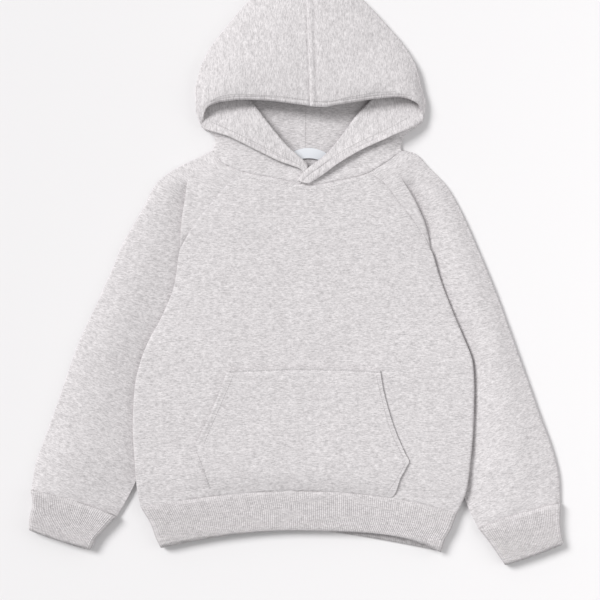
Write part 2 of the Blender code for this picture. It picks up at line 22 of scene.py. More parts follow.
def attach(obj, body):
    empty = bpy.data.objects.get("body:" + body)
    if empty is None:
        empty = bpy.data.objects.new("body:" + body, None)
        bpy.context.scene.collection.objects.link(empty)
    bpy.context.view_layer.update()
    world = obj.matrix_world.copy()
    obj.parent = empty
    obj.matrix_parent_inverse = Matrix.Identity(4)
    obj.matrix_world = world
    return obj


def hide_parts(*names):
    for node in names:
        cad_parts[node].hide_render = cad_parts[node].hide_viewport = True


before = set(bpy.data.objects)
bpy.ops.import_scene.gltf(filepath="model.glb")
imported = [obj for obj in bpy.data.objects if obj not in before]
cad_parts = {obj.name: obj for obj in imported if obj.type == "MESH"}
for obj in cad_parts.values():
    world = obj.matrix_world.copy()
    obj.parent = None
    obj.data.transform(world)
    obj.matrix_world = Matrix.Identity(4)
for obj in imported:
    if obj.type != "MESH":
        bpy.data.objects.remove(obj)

LOG = logging.getLogger("hoodie")
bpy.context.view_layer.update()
MM = 0.001
# walls of the cloths, and the height of a layer that lies on the table
WALL = 2.0
RIB_WALL = 2.4
POCKET_WALL = 1.6
LABEL_WALL = 0.6
FLOOR = WALL / 2.0
# distance between the layers of a fold, and the least radius of its nose
PITCH = 2.7
FOLD = 1.7
# each of two pieces that are sewn together stands this far back from their seam
GAP = 0.04
# heights of the front's middle and of the hood's crown, and the centre line's x
BODY_LOFT = 15.5
CROWN_LOFT = 24.0
MIDDLE = 11.0
# points round a fold, and the one at its tip
NOSE = 9
TIP = NOSE // 2
# sections of a sleeve that share their seam with the front
RAGLAN_ROWS = 6
# stretches where the waist seam is drawn in: middle, half length, strength
WAIST_ARCS = (
    (-103.0, 26.0, 0.8),
    (-32.0, 12.0, 0.7),
    (14.0, 15.0, 1.0),
    (66.0, 10.0, 0.45),
    (128.0, 20.0, 1.0),
)
BETWEEN_ARCS = 0.15
# height of the crown's outer fold, a pitch below its upper layer
PLAIN_FOLD_Z = 6.0
Plan = tuple[float, float]
Place = Sequence[float] | np.ndarray
Value = float | np.ndarray


class Kind(Enum):
    """How a section runs from its first edge to its last."""

    OPEN = "open"
    PLEAT = "pleat"
    TUCK = "tuck"
    TUBE = "tube"
    END = "end"
    TURNED = "turned"
    PLAIN = "plain"


# --------------------------------------------------------------- sections
@dataclass(frozen=True)
class SleeveSection:
    """One section of a sleeve, in the order seam, pleat, outer fold, lower seam."""

    kind: Kind
    seam: Plan
    fold: Plan
    inner: Plan
    outer: Plan
    back: Plan
    top: float
    crown: float
    cover: float


@dataclass(frozen=True)
class SideSection:
    """Where the body's front turns under, and the side seam beneath it."""

    fold: Plan
    seam: Plan
    hollow: float


@dataclass(frozen=True)
class HoodSection:
    """One section of half a hood, from its front edge round to its back seam."""

    kind: Kind
    rim: Plan
    brow: Plan
    fold: Plan
    under: Plan
    side: Plan
    back: Plan
    rim_z: float
    fold_z: float


@dataclass(frozen=True)
class BandSection:
    """One ring of a flat tube of rib, with the bow of its top and floor layers."""

    left: Plan
    right: Plan
    bow: float
    top: float
    floor_bow: float = 0.0
    fall: Plan = (2.0, 2.0)
    floor_fall: Plan = (2.0, 2.0)


@dataclass(frozen=True)
class Crease:
    """A soft trough, or a ridge where its depth is negative, pressed into cloth."""

    start: Plan
    end: Plan
    depth: float
    width: float


@dataclass(frozen=True)
class Groove:
    """A trough, or a ridge where its depth is negative, that keeps its distance from an edge."""

    depth: float
    width: float
    inset: float = 0.0


def open_section(seam: Plan, fold: Plan, outer: Plan, back: Plan, top: float, crown: float) -> SleeveSection:
    """A section of a sleeve above the pleat."""
    return SleeveSection(Kind.OPEN, seam, fold, fold, outer, back, top, crown, 0.0)


def tube_section(inner: Plan, outer: Plan, crown: float, cover: float) -> SleeveSection:
    """A section of a sleeve below the underarm, seam to seam at its inner edge."""
    return SleeveSection(Kind.TUBE, inner, inner, inner, outer, inner, FLOOR + PITCH, crown, cover)


def turned_section(
    rim: Plan, fold: Plan, under: Plan, side: Plan, back: Plan, rim_z: float, fold_z: float
) -> HoodSection:
    """A section through the front edge, turned outwards over the neck part."""
    return HoodSection(Kind.TURNED, rim, rim, fold, under, side, back, rim_z, fold_z)


def pleat_section(
    rim: Plan, brow: Plan, fold: Plan, under: Plan, side: Plan, back: Plan, rim_z: float, fold_z: float
) -> HoodSection:
    """A section where the crown folds over at the brow, above the turned edge."""
    return HoodSection(Kind.PLEAT, rim, brow, fold, under, side, back, rim_z, fold_z)


def plain_section(rim: Plan, brow: Plan, back: Plan, rim_z: float) -> HoodSection:
    """A section through the crown alone, from its front edge over its outer fold."""
    return HoodSection(Kind.PLAIN, rim, brow, brow, brow, brow, back, rim_z, PLAIN_FOLD_Z)


def end_section(inner: Plan, outer: Plan) -> SleeveSection:
    """The last section of a sleeve, squarer, where it meets its cuff."""
    return SleeveSection(Kind.END, inner, inner, inner, outer, inner, FLOOR + PITCH, 11.0, 0.0)


# --------------------------------------------------------------- plain geometry
def mix(a: Place, b: Place, t: float) -> np.ndarray:
    """The point at fraction t of the way from a to b."""
    return np.asarray(a, float) * (1.0 - t) + np.asarray(b, float) * t


def toward(a: Place, b: Place, distance: float) -> np.ndarray:
    """The plan point at a distance from a on the way to b.

    Args:
        a: where to start.
        b: what to head for.
        distance: how far to go.

    Returns:
        The plan point.
    """
    a = np.asarray(a[:2], float)
    step = np.asarray(b[:2], float) - a
    length = np.hypot(*step)
    return a + step * (distance / length) if length > 1e-6 else a


def lift(plan: Place, z: float) -> np.ndarray:
    """A plan point at height z."""
    return np.array([plan[0], plan[1], z], float)


def hairpin(tip: Place, above: Place, below: Place, z_above: float, z_below: float) -> list[np.ndarray]:
    """Points round a fold, from the layer above, by its nose, to the one below.

    Args:
        tip: the fold's place in plan.
        above: a place in the upper layer, behind the fold.
        below: a place in the lower layer, behind the fold.
        z_above: the upper layer's height.
        z_below: the lower layer's height.

    Returns:
        The points of the nose, NOSE in number.
    """
    half = (z_above - z_below) / 2.0
    reach = max(FOLD, half)
    points = []
    for angle in np.linspace(pi / 2.0, -pi / 2.0, NOSE):
        inward = toward(tip, above if angle > 0.0 else below, reach * (1.0 - np.cos(angle)))
        points.append(lift(inward, z_below + half + half * np.sin(angle)))
    return points


def run(a: np.ndarray, b: np.ndarray, steps: int, via: Optional[Plan] = None) -> list[np.ndarray]:
    """Points inside a run from a to b, drawn towards via.

    Args:
        a: where the run starts.
        b: where it ends.
        steps: how many points lie between.
        via: a place in plan that the run's middle passes.

    Returns:
        The points between a and b.
    """
    points = []
    for t in np.linspace(0.0, 1.0, steps + 2)[1:-1]:
        point = mix(a, b, t)
        if via is not None:
            point[:2] += (np.asarray(via, float) - (a[:2] + b[:2]) / 2.0) * 4.0 * t * (1.0 - t)
        points.append(point)
    return points


def smooth_step(x: Place | Value, low: float, high: float) -> np.ndarray:
    """0 below low, 1 above high, and an even slope between."""
    t = np.clip((np.asarray(x, float) - low) / (high - low), 0.0, 1.0)
    return t * t * (3.0 - 2.0 * t)


def through(knots: np.ndarray, values: np.ndarray, at: np.ndarray) -> np.ndarray:
    """A smooth curve through values that never swings past them.

    Args:
        knots: rising places of the values.
        values: one row of numbers for each knot.
        at: places to read.

    Returns:
        One row of numbers for each place.
    """
    gaps = np.diff(knots)[:, None]
    slopes = np.diff(values, axis=0) / gaps
    ends = np.zeros_like(values)
    ends[0], ends[-1] = slopes[0], slopes[-1]
    same = slopes[:-1] * slopes[1:] > 0.0
    total = slopes[:-1] + slopes[1:]
    ends[1:-1] = np.where(same, 2.0 * slopes[:-1] * slopes[1:] / np.where(same, total, 1.0), 0.0)
    cell = np.clip(np.searchsorted(knots, at, side="right") - 1, 0, len(knots) - 2)
    h = gaps[cell]
    t = ((at - knots[cell])[:, None]) / h
    a, b = values[cell], values[cell + 1]
    da, db = ends[cell] * h, ends[cell + 1] * h
    return (
        a * (1 + 2 * t) * (1 - t) ** 2 + da * t * (1 - t) ** 2
        + b * t**2 * (3 - 2 * t) + db * t**2 * (t - 1)
    )


def loft(rows: list[list[np.ndarray]], step: float, fine: tuple[int, int] = (2, 2)) -> np.ndarray:
    """Rows of points filled in smoothly.

    Args:
        rows: the sections, each with the same number of points.
        step: about how far apart the filled rows are, in millimetres.
        fine: the fewest parts the first and the last gap are cut into.

    Returns:
        The filled rows.
    """
    rows = np.array(rows)
    count, columns, _ = rows.shape
    gaps = np.linalg.norm(np.diff(rows, axis=0), axis=2).mean(axis=1)
    knots = np.concatenate([[0.0], np.cumsum(gaps)])
    at = [0.0]
    for k, gap in enumerate(gaps):
        least = fine[0] if k == 0 else fine[1] if k == len(gaps) - 1 else 2
        pieces = max(least, round(gap / step))
        at.extend(knots[k] + gap * (i + 1.0) / pieces for i in range(pieces))
    at[-1] = knots[-1]
    at = np.array(at)
    points = through(knots, rows.reshape(count, -1), at).reshape(len(at), columns, 3)
    joined = np.abs(np.diff(rows, axis=1)).max(axis=2) < 1e-6
    for k in range(count - 1):
        leader = np.arange(columns)
        for c in np.flatnonzero(joined[k] & joined[k + 1]):
            leader[c + 1] = leader[c]
        within = (at > knots[k] + 1e-9) & (at < knots[k + 1] - 1e-9)
        points[within] = points[within][:, leader]
    return points


def press(points: np.ndarray, creases: list[Crease], weight: np.ndarray) -> None:
    """Press creases into points, as deep as each point's weight lets them.

    Args:
        points: rows of points, changed in place.
        creases: the troughs and ridges.
        weight: the share of the depth that each point takes.
    """
    for crease in creases:
        start = np.array(crease.start, float)
        along = np.array(crease.end, float) - start
        length = np.hypot(*along)
        offset = points[..., :2] - start
        t = (offset @ along) / length**2
        distance = np.abs(offset[..., 0] * along[1] - offset[..., 1] * along[0]) / length
        taper = smooth_step(t, -0.1, 0.3) * (1.0 - smooth_step(t, 0.7, 1.1))
        points[..., 2] -= weight * crease.depth * taper * np.exp(-((distance / crease.width) ** 2))


def ripple(points: np.ndarray, depth: float, size: float, seed: float, weight: np.ndarray) -> None:
    """Lift and sink points a little, as cloth that was smoothed by hand does.

    Args:
        points: rows of points, changed in place.
        depth: the greatest lift.
        size: about how wide a wave is.
        seed: picks the pattern.
        weight: the share that each point takes.
    """
    rows, columns, _ = points.shape
    for i in range(rows):
        for k in range(columns):
            if weight[i, k] > 0.0:
                x, y, _ = points[i, k]
                wave = noise.noise(Vector((x / size, y / size, seed)))
                points[i, k, 2] += depth * weight[i, k] * wave


def edge_distance(points: np.ndarray, edge: str) -> np.ndarray:
    """Distance over the cloth of each point from one edge of its grid.

    Args:
        points: rows of points.
        edge: first_row, last_row, first_column or last_column.

    Returns:
        A distance for each point.
    """
    axis = 0 if edge in ("first_row", "last_row") else 1
    gaps = np.linalg.norm(np.diff(points, axis=axis), axis=2)
    if edge in ("last_row", "last_column"):
        gaps = np.flip(gaps, axis)
    total = np.cumsum(gaps, axis=axis)
    pad = np.zeros_like(np.take(total, [0], axis=axis))
    total = np.concatenate([pad, total], axis=axis)
    if edge in ("last_row", "last_column"):
        total = np.flip(total, axis)
    return total


def groove(points: np.ndarray, distance: np.ndarray, weight: Value, line: Groove) -> None:
    """Press a groove into points."""
    points[..., 2] -= weight * line.depth * np.exp(-(((distance - line.inset) / line.width) ** 2))


def roll_seam(points: np.ndarray, edge: str, weight: Value, line: Groove) -> None:
    """Turn an edge down into its seam, so that two pieces meet in a groove."""
    groove(points, edge_distance(points, edge), weight, line)


def away_from(points: np.ndarray, edges: tuple[str, ...], reach: float) -> np.ndarray:
    """0 on the named edges, rising to 1 where the cloth is out of their reach."""
    nearest = np.min([edge_distance(points, edge) for edge in edges], axis=0)
    return smooth_step(nearest, 0.0, reach)


def seam_arcs(x: np.ndarray) -> np.ndarray:
    """How deep the waist seam is drawn in over x: full in a few arcs, faint between.

    Args:
        x: places along the seam.

    Returns:
        A share of the full depth for each place.
    """
    depth = np.full_like(x, BETWEEN_ARCS)
    for middle, half, strength in WAIST_ARCS:
        depth = np.maximum(depth, strength * np.exp(-(((x - middle) / half) ** 4)))
    return depth


# --------------------------------------------------------------- the neck line
NECK_SEAM = np.array([
    (-88.0, 121.0, 6.0),
    (-75.0, 106.0, 11.0),
    (-54.0, 98.0, 13.0),
    (-19.0, 91.0, 13.8),
    (4.0, 86.0, 14.2),
    (14.0, 84.5, 14.2),
    (26.0, 85.5, 14.2),
    (39.0, 88.0, 13.8),
    (71.0, 95.0, 13.0),
    (95.0, 108.0, 11.0),
    (112.0, 121.0, 6.0),
])


def neck(x: float) -> tuple[float, float]:
    """Place and height of the neck seam over x, along the front.

    Args:
        x: the place across the body.

    Returns:
        Its y and its height.
    """
    at = np.clip(x, NECK_SEAM[0, 0], NECK_SEAM[-1, 0])
    y, z = through(NECK_SEAM[:, 0], NECK_SEAM[:, 1:], np.array([at]))[0]
    return y, z


def back_neck(x: float) -> float:
    """Place of the neck seam over x, along the back."""
    return 113.5 + 0.0009 * (x - MIDDLE) ** 2


def follow_neck(row: np.ndarray, gap: float) -> None:
    """Lay a piece's first row along the neck seam, front and back.

    Args:
        row: the points, changed in place.
        gap: how far above the seam in plan they lie.
    """
    for point in row:
        if point[2] > FLOOR + 0.5:
            y, z = neck(point[0])
            point[1] = y + gap
            point[2] = z if point[2] > z - 4.0 else max(point[2], z * 0.5)
        else:
            point[1] = back_neck(point[0]) + gap


# --------------------------------------------------------------- finishes
# how far apart the heather's layers read the noise, and the mean of their sum
LAYER_APART = 37.0
HEATHER_MEAN = 0.53


def link(tree: bpy.types.NodeTree, source: bpy.types.NodeSocket, target: bpy.types.NodeSocket) -> None:
    """Join two sockets."""
    tree.links.new(source, target)


def node(tree: bpy.types.NodeTree, kind: str, **values: object) -> bpy.types.Node:
    """Add a node and set its properties and numbered inputs.

    Args:
        tree: the node tree to add to.
        kind: the node's type name.
        values: properties by name; inputs as in0, in1 and so on.

    Returns:
        The new node.
    """
    made = tree.nodes.new(kind)
    for name, value in values.items():
        if name.startswith("in") and name[2:].isdigit():
            made.inputs[int(name[2:])].default_value = value
        else:
            setattr(made, name, value)
    return made


def group_of(name: str, inputs: dict[str, str], outputs: dict[str, str]) -> bpy.types.NodeTree:
    """An empty shader group with named sockets.

    Args:
        name: the group's name.
        inputs: socket types by label.
        outputs: socket types by label.

    Returns:
        The group, with its input and output nodes.
    """
    tree = bpy.data.node_groups.new(name, "ShaderNodeTree")
    for label, kind in inputs.items():
        tree.interface.new_socket(label, in_out="INPUT", socket_type=kind)
    for label, kind in outputs.items():
        tree.interface.new_socket(label, in_out="OUTPUT", socket_type=kind)
    tree.nodes.new("NodeGroupInput")
    tree.nodes.new("NodeGroupOutput")
    return tree


def heather_group() -> bpy.types.NodeTree:
    """Marled yarn: pale and dark fibres in short streaks along the courses.

    Returns:
        The group: a colour and the height of its streaks.
    """
    tree = group_of(
        "heather",
        {"Vector": "NodeSocketVector", "Pale": "NodeSocketColor", "Dark": "NodeSocketColor",
         "Streak Length": "NodeSocketFloat", "Contrast": "NodeSocketFloat"},
        {"Color": "NodeSocketColor", "Height": "NodeSocketFloat"},
    )
    given = tree.nodes["Group Input"].outputs
    result = tree.nodes["Group Output"].inputs
    split = node(tree, "ShaderNodeSeparateXYZ")
    link(tree, given["Vector"], split.inputs[0])
    layers = []
    # each layer: a streak's width, its length in widths, detail, share, and the
    # noise values that become 0 and 1
    for width, longer, detail, share, low, high in (
        (0.0013, 3.2, 3.0, 0.46, 0.36, 0.66),
        (0.0008, 1.9, 2.0, 0.36, 0.32, 0.70),
        (0.0045, 2.2, 3.0, 0.24, 0.34, 0.68),
    ):
        across = node(tree, "ShaderNodeMath", operation="MULTIPLY", in1=1.0 / (width * longer))
        shorter = node(tree, "ShaderNodeMath", operation="DIVIDE")
        link(tree, split.outputs["X"], across.inputs[0])
        link(tree, across.outputs[0], shorter.inputs[0])
        link(tree, given["Streak Length"], shorter.inputs[1])
        up = node(tree, "ShaderNodeMath", operation="MULTIPLY", in1=1.0 / width)
        link(tree, split.outputs["Y"], up.inputs[0])
        joined = node(tree, "ShaderNodeCombineXYZ", in2=share * LAYER_APART)
        link(tree, shorter.outputs[0], joined.inputs[0])
        link(tree, up.outputs[0], joined.inputs[1])
        grain = node(tree, "ShaderNodeTexNoise", in2=1.0, in3=detail)
        link(tree, joined.outputs[0], grain.inputs["Vector"])
        sharper = node(tree, "ShaderNodeMapRange", in1=low, in2=high)
        link(tree, grain.outputs[0], sharper.inputs[0])
        weighed = node(tree, "ShaderNodeMath", operation="MULTIPLY", in1=share)
        link(tree, sharper.outputs[0], weighed.inputs[0])
        layers.append(weighed.outputs[0])
    total = layers[0]
    for layer in layers[1:]:
        adder = node(tree, "ShaderNodeMath", operation="ADD")
        link(tree, total, adder.inputs[0])
        link(tree, layer, adder.inputs[1])
        total = adder.outputs[0]
    centred = node(tree, "ShaderNodeMath", operation="SUBTRACT", in1=HEATHER_MEAN)
    link(tree, total, centred.inputs[0])
    scaled = node(tree, "ShaderNodeMath", operation="MULTIPLY")
    link(tree, centred.outputs[0], scaled.inputs[0])
    link(tree, given["Contrast"], scaled.inputs[1])
    factor = node(tree, "ShaderNodeMath", operation="ADD", use_clamp=True, in1=0.5)
    link(tree, scaled.outputs[0], factor.inputs[0])
    tone = node(tree, "ShaderNodeMix", data_type="RGBA")
    link(tree, factor.outputs[0], tone.inputs[0])
    link(tree, given["Pale"], tone.inputs[6])
    link(tree, given["Dark"], tone.inputs[7])
    link(tree, tone.outputs[2], result["Color"])
    link(tree, total, result["Height"])
    return tree


def rib_shade_group() -> bpy.types.NodeTree:
    """Painted shade of the rib knit: a mask that is 1 on each rib and 0 in the groove beside it, where the
    colour is darkened.

    Returns:
        The group.
    """
    tree = group_of(
        "rib", {"Vector": "NodeSocketVector", "Pitch": "NodeSocketFloat"}, {"Rib": "NodeSocketFloat"}
    )
    given = tree.nodes["Group Input"].outputs
    split = node(tree, "ShaderNodeSeparateXYZ")
    link(tree, given["Vector"], split.inputs[0])
    turns = node(tree, "ShaderNodeMath", operation="DIVIDE")
    link(tree, split.outputs["X"], turns.inputs[0])
    link(tree, given["Pitch"], turns.inputs[1])
    angle = node(tree, "ShaderNodeMath", operation="MULTIPLY", in1=2.0 * pi)
    link(tree, turns.outputs[0], angle.inputs[0])
    wave = node(tree, "ShaderNodeMath", operation="COSINE")
    link(tree, angle.outputs[0], wave.inputs[0])
    mask = node(tree, "ShaderNodeMapRange", in1=-0.75, in2=0.6)
    link(tree, wave.outputs[0], mask.inputs[0])
    link(tree, mask.outputs[0], tree.nodes["Group Output"].inputs["Rib"])
    return tree


@dataclass(frozen=True)
class KnitFinish:
    """A marled knit, with the turn that lays its streaks on a piece."""

    name: str
    pale: tuple[float, float, float]
    dark: tuple[float, float, float]
    contrast: float = 1.0
    streak_length: float = 1.0
    turned: bool = False
    rib_pitch: float = 0.0
    bump: float = 0.5

    def material(self, groups: dict[str, bpy.types.NodeTree]) -> bpy.types.Material:
        """Make the material.

        Args:
            groups: the shared node groups by name.

        Returns:
            The finished material.
        """
        made = bpy.data.materials.new(self.name)
        made.use_nodes = True
        tree = made.node_tree
        shader = tree.nodes["Principled BSDF"]
        shader.inputs["Roughness"].default_value = 0.95
        shader.inputs["Specular IOR Level"].default_value = 0.2
        shader.inputs["Sheen Weight"].default_value = 0.12
        shader.inputs["Sheen Roughness"].default_value = 0.6
        uv = node(tree, "ShaderNodeUVMap", uv_map="UVMap")
        turn = node(tree, "ShaderNodeMapping")
        turn.inputs["Rotation"].default_value = (0.0, 0.0, radians(90.0) if self.turned else 0.0)
        link(tree, uv.outputs[0], turn.inputs[0])
        heather = node(tree, "ShaderNodeGroup", node_tree=groups["heather"])
        heather.inputs["Pale"].default_value = (*self.pale, 1.0)
        heather.inputs["Dark"].default_value = (*self.dark, 1.0)
        heather.inputs["Contrast"].default_value = self.contrast
        heather.inputs["Streak Length"].default_value = self.streak_length
        link(tree, turn.outputs[0], heather.inputs["Vector"])
        colour, height = heather.outputs["Color"], heather.outputs["Height"]
        if self.rib_pitch:
            rib = node(tree, "ShaderNodeGroup", node_tree=groups["rib"])
            rib.inputs["Pitch"].default_value = self.rib_pitch * MM
            link(tree, uv.outputs[0], rib.inputs["Vector"])
            # painted shade: the colour is multiplied down to 0.8 in the grooves between the ribs
            shade = node(tree, "ShaderNodeMix", data_type="RGBA", blend_type="MULTIPLY", in0=1.0)
            groove = node(tree, "ShaderNodeMapRange", in3=0.8, in4=1.0)
            link(tree, rib.outputs[0], groove.inputs[0])
            link(tree, colour, shade.inputs[6])
            link(tree, groove.outputs[0], shade.inputs[7])
            colour = shade.outputs[2]
        link(tree, colour, shader.inputs["Base Color"])
        bump = node(tree, "ShaderNodeBump")
        bump.inputs["Strength"].default_value = self.bump
        bump.inputs["Distance"].default_value = 0.0004
        link(tree, height, bump.inputs["Height"])
        link(tree, bump.outputs[0], shader.inputs["Normal"])
        return made


@dataclass(frozen=True)
class PlainFinish:
    """A finish of one tone with a fine woven grain."""

    name: str
    colour: tuple[float, float, float]
    roughness: float
    grain: float

    def material(self) -> bpy.types.Material:
        """Make the material from the colour and a fine grain.

        Returns:
            The finished material.
        """
        made = bpy.data.materials.new(self.name)
        made.use_nodes = True
        tree = made.node_tree
        shader = tree.nodes["Principled BSDF"]
        shader.inputs["Roughness"].default_value = self.roughness
        place = node(tree, "ShaderNodeTexCoord")
        grain = node(tree, "ShaderNodeTexNoise", in2=1.0 / self.grain, in3=2.0)
        link(tree, place.outputs["Object"], grain.inputs["Vector"])
        tone = node(tree, "ShaderNodeMix", data_type="RGBA")
        tone.inputs[6].default_value = (*(0.94 * part for part in self.colour), 1.0)
        tone.inputs[7].default_value = (*self.colour, 1.0)
        link(tree, grain.outputs[0], tone.inputs[0])
        link(tree, tone.outputs[2], shader.inputs["Base Color"])
        bump = node(tree, "ShaderNodeBump", in0=0.2)
        link(tree, grain.outputs[0], bump.inputs["Height"])
        link(tree, bump.outputs[0], shader.inputs["Normal"])
        return made


# --------------------------------------------------------------- cloth pieces
# points closer than this are one, in metres; edges below this angle are shaded smooth
JOIN_WITHIN = 0.000002
SMOOTH_BELOW = 66.0


def deselect() -> None:
    """Leave nothing selected."""
    bpy.ops.object.select_all(action="DESELECT")


def apply_all(obj: bpy.types.Object) -> None:
    """Apply every modifier of an object in order.

    Args:
        obj: the object.
    """
    deselect()
    bpy.context.view_layer.objects.active = obj
    obj.select_set(True)
    for modifier in list(obj.modifiers):
        bpy.ops.object.modifier_apply(modifier=modifier.name)


def cloth_grid(
    name: str, points: np.ndarray, uv: np.ndarray, wall: float, ring: bool = False
) -> bpy.types.Object:
    """Lay a grid through points and give it a wall.

    Args:
        name: the piece's name.
        points: rows of places in millimetres.
        uv: a pair in metres for each point.
        wall: the cloth's thickness in millimetres, or 0 for a closed thread.
        ring: whether each row closes on itself.

    Returns:
        The finished object, at the origin.
    """
    if ring:
        points = np.concatenate([points, points[:, :1]], axis=1)
    rows, columns, _ = points.shape
    deselect()
    bpy.ops.mesh.primitive_grid_add(x_subdivisions=columns - 1, y_subdivisions=rows - 1, size=2.0)
    obj = bpy.context.active_object
    obj.name = name
    mesh = obj.data
    mesh.name = obj.name
    flat = np.empty(len(mesh.vertices) * 3)
    mesh.vertices.foreach_get("co", flat)
    flat = flat.reshape(-1, 3)
    column = np.rint((flat[:, 0] + 1.0) / 2.0 * (columns - 1)).astype(int)
    row = np.rint((1.0 - flat[:, 1]) / 2.0 * (rows - 1)).astype(int)
    mesh.vertices.foreach_set("co", (points[row, column] * MM).ravel())
    corner = np.empty(len(mesh.loops), int)
    mesh.loops.foreach_get("vertex_index", corner)
    mesh.uv_layers.active.data.foreach_set("uv", uv[row, column][corner].ravel())
    mesh.update()
    bpy.ops.object.mode_set(mode="EDIT")
    bpy.ops.mesh.select_all(action="SELECT")
    bpy.ops.mesh.remove_doubles(threshold=JOIN_WITHIN)
    bpy.ops.mesh.dissolve_degenerate(threshold=JOIN_WITHIN / 2.0)
    bpy.ops.object.mode_set(mode="OBJECT")
    if wall:
        solid = obj.modifiers.new("Wall", "SOLIDIFY")
        solid.thickness = wall * MM
        solid.offset = 0.0
        apply_all(obj)
    if ring:
        bpy.ops.object.shade_smooth()
    else:
        bpy.ops.object.shade_smooth_by_angle(angle=radians(SMOOTH_BELOW))
    return obj


def plan_uv(points: np.ndarray) -> np.ndarray:
    """A pair for each point from its own place in plan, in metres."""
    return points[..., :2] * MM


def arc_uv(points: np.ndarray) -> np.ndarray:
    """A pair for each point from its distance over the cloth, in metres.

    Args:
        points: rows of points.

    Returns:
        The pairs.
    """
    across = edge_distance(points, "first_column")
    down = edge_distance(points, "first_row")
    down = np.repeat(down[:, [points.shape[1] // 2]], points.shape[1], axis=1)
    return np.stack([across, down], axis=2) * MM


def finish_piece(obj: bpy.types.Object, cad_node: str, material: bpy.types.Material) -> None:
    """Put a finished piece in the place of its solid.

    Args:
        obj: the piece.
        cad_node: the solid that it stands for.
        material: its finish.
    """
    obj.data.materials.clear()
    obj.data.materials.append(material)
    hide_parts(cad_node)
    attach(obj, "root")
    cloth_area = sum(face.area for face in obj.data.polygons) / 2.0
    LOG.info("%s: %d faces, %.4f square metres of cloth", obj.name, len(obj.data.polygons), cloth_area)


# --------------------------------------------------------------- sleeves
LEFT_SLEEVE = (
    open_section((-56, 98), (-80, 113), (-88, 121), (-52, 117), 13.0, 8.5),
    open_section((-68, 89), (-99, 104), (-107, 112), (-60, 106), 13.0, 10.0),
    open_section((-77, 80), (-113, 92), (-126, 103), (-67, 95), 12.8, 10.5),
    SleeveSection(Kind.PLEAT, (-90, 65), (-117, 70), (-106, 69), (-147, 87), (-76, 76), 12.5, 11.0, 12),
    SleeveSection(Kind.PLEAT, (-107, 43), (-121, 41), (-104, 40), (-163, 58), (-87, 48), 12.0, 12.0, 18),
    SleeveSection(Kind.TUCK, (-122, 17), (-122, 17), (-104, 14), (-183, 23), (-97, 16), 9.6, 13.0, 19),
    SleeveSection(Kind.TUCK, (-120, -20), (-120, -20), (-108, -20), (-196, -8), (-107, -20), 6.4, 13.5, 21),
    tube_section((-117, -56), (-205, -28), 13.5, 26),
    tube_section((-131, -80), (-217, -54), 14.0, 22),
    tube_section((-139, -116), (-231, -84), 14.5, 27),
    tube_section((-146, -148), (-242, -115), 14.5, 27),
    tube_section((-157, -191), (-256, -156), 14.5, 15),
    tube_section((-170, -229), (-270, -194), 14.0, 2),
    tube_section((-180, -249), (-277, -215), 13.0, 0),
    end_section((-191, -267), (-281, -239)),
)
RIGHT_SLEEVE = (
    open_section((78, 98), (104, 114), (112, 121), (75, 117), 13.0, 8.5),
    open_section((87, 92), (108, 105), (126, 119), (82, 106), 13.0, 10.0),
    open_section((96, 85), (110, 96), (139, 106), (89, 95), 12.8, 10.5),
    SleeveSection(Kind.PLEAT, (108, 69), (125.5, 69), (114, 69), (160, 84), (98, 76), 12.5, 11.0, 15),
    SleeveSection(Kind.PLEAT, (128, 43), (137, 42), (121, 42), (177, 54), (110, 48), 12.0, 12.0, 21),
    SleeveSection(Kind.TUCK, (142.5, 17), (142.5, 17), (126, 14), (195, 13), (122, 16), 9.6, 13.0, 22),
    SleeveSection(Kind.TUCK, (146, -20), (146, -20), (134, -20), (208, -18), (134, -20), 6.4, 13.5, 23),
    tube_section((147, -56), (217, -41), 13.5, 25),
    tube_section((157, -78), (226, -66), 14.0, 24),
    tube_section((157, -112), (236, -94), 14.5, 33),
    tube_section((157, -148), (246, -122), 14.5, 34),
    tube_section((161, -192), (259, -159), 14.5, 28),
    tube_section((175, -234), (274, -201), 14.0, 8),
    tube_section((184, -258), (280, -229), 13.0, 0),
    end_section((195, -280), (281, -253)),
)
CUFF_SEAM_BOW = 3.0
CUFF_BOW_FADE = 24
# y above which a sleeve's first edge is a raglan seam
RAGLAN_END = 10.0
LEFT_SLEEVE_CREASES = [
    Crease((-86, 98), (-66, 107), 0.7, 1.8),
    Crease((-92, 84), (-74, 90), 0.5, 2.0),
    Crease((-176, -120), (-214, -104), 0.7, 5.0),
    Crease((-180, -170), (-226, -160), -0.7, 6.0),
    Crease((-196, -214), (-236, -196), 0.6, 5.0),
]
RIGHT_SLEEVE_CREASES = [
    Crease((158, -2), (172, 2), 0.9, 1.8),
    Crease((166, -24), (180, -20), 0.7, 1.8),
    Crease((176, -44), (192, -42), 0.9, 2.2),
    Crease((184, -66), (202, -66), 0.8, 2.0),
    Crease((190, -84), (204, -86), 0.7, 1.8),
    Crease((194, -108), (212, -110), 0.9, 2.2),
    Crease((196, -134), (210, -137), 0.6, 2.0),
    Crease((196, -160), (216, -165), 0.8, 2.4),
    Crease((194, -192), (212, -198), 0.7, 2.4),
    Crease((190, -220), (206, -226), 0.7, 2.2),
    Crease((200, -236), (240, -216), 0.6, 5.0),
]


def follow_raglan(column: np.ndarray, sections: tuple[SleeveSection, ...], shift: float) -> None:
    """Lay an edge along the armhole seam that a sleeve and the front share.

    Args:
        column: the edge's points, changed in place.
        sections: the sleeve's sections.
        shift: how far the edge stands from the seam, in x.
    """
    seam = sections[:RAGLAN_ROWS][::-1]
    knots = np.array([s.seam[1] for s in seam], float)
    values = np.array([(s.seam[0], s.top) for s in seam], float)
    places = through(knots, values, np.clip(column[:, 1], knots[0], knots[-1]))
    on_seam = column[:, 1] > knots[0] + 1.0
    column[on_seam, 0] = places[on_seam, 0] + shift
    level = column[:, 1] > knots[1]
    column[level, 2] = places[level, 1]


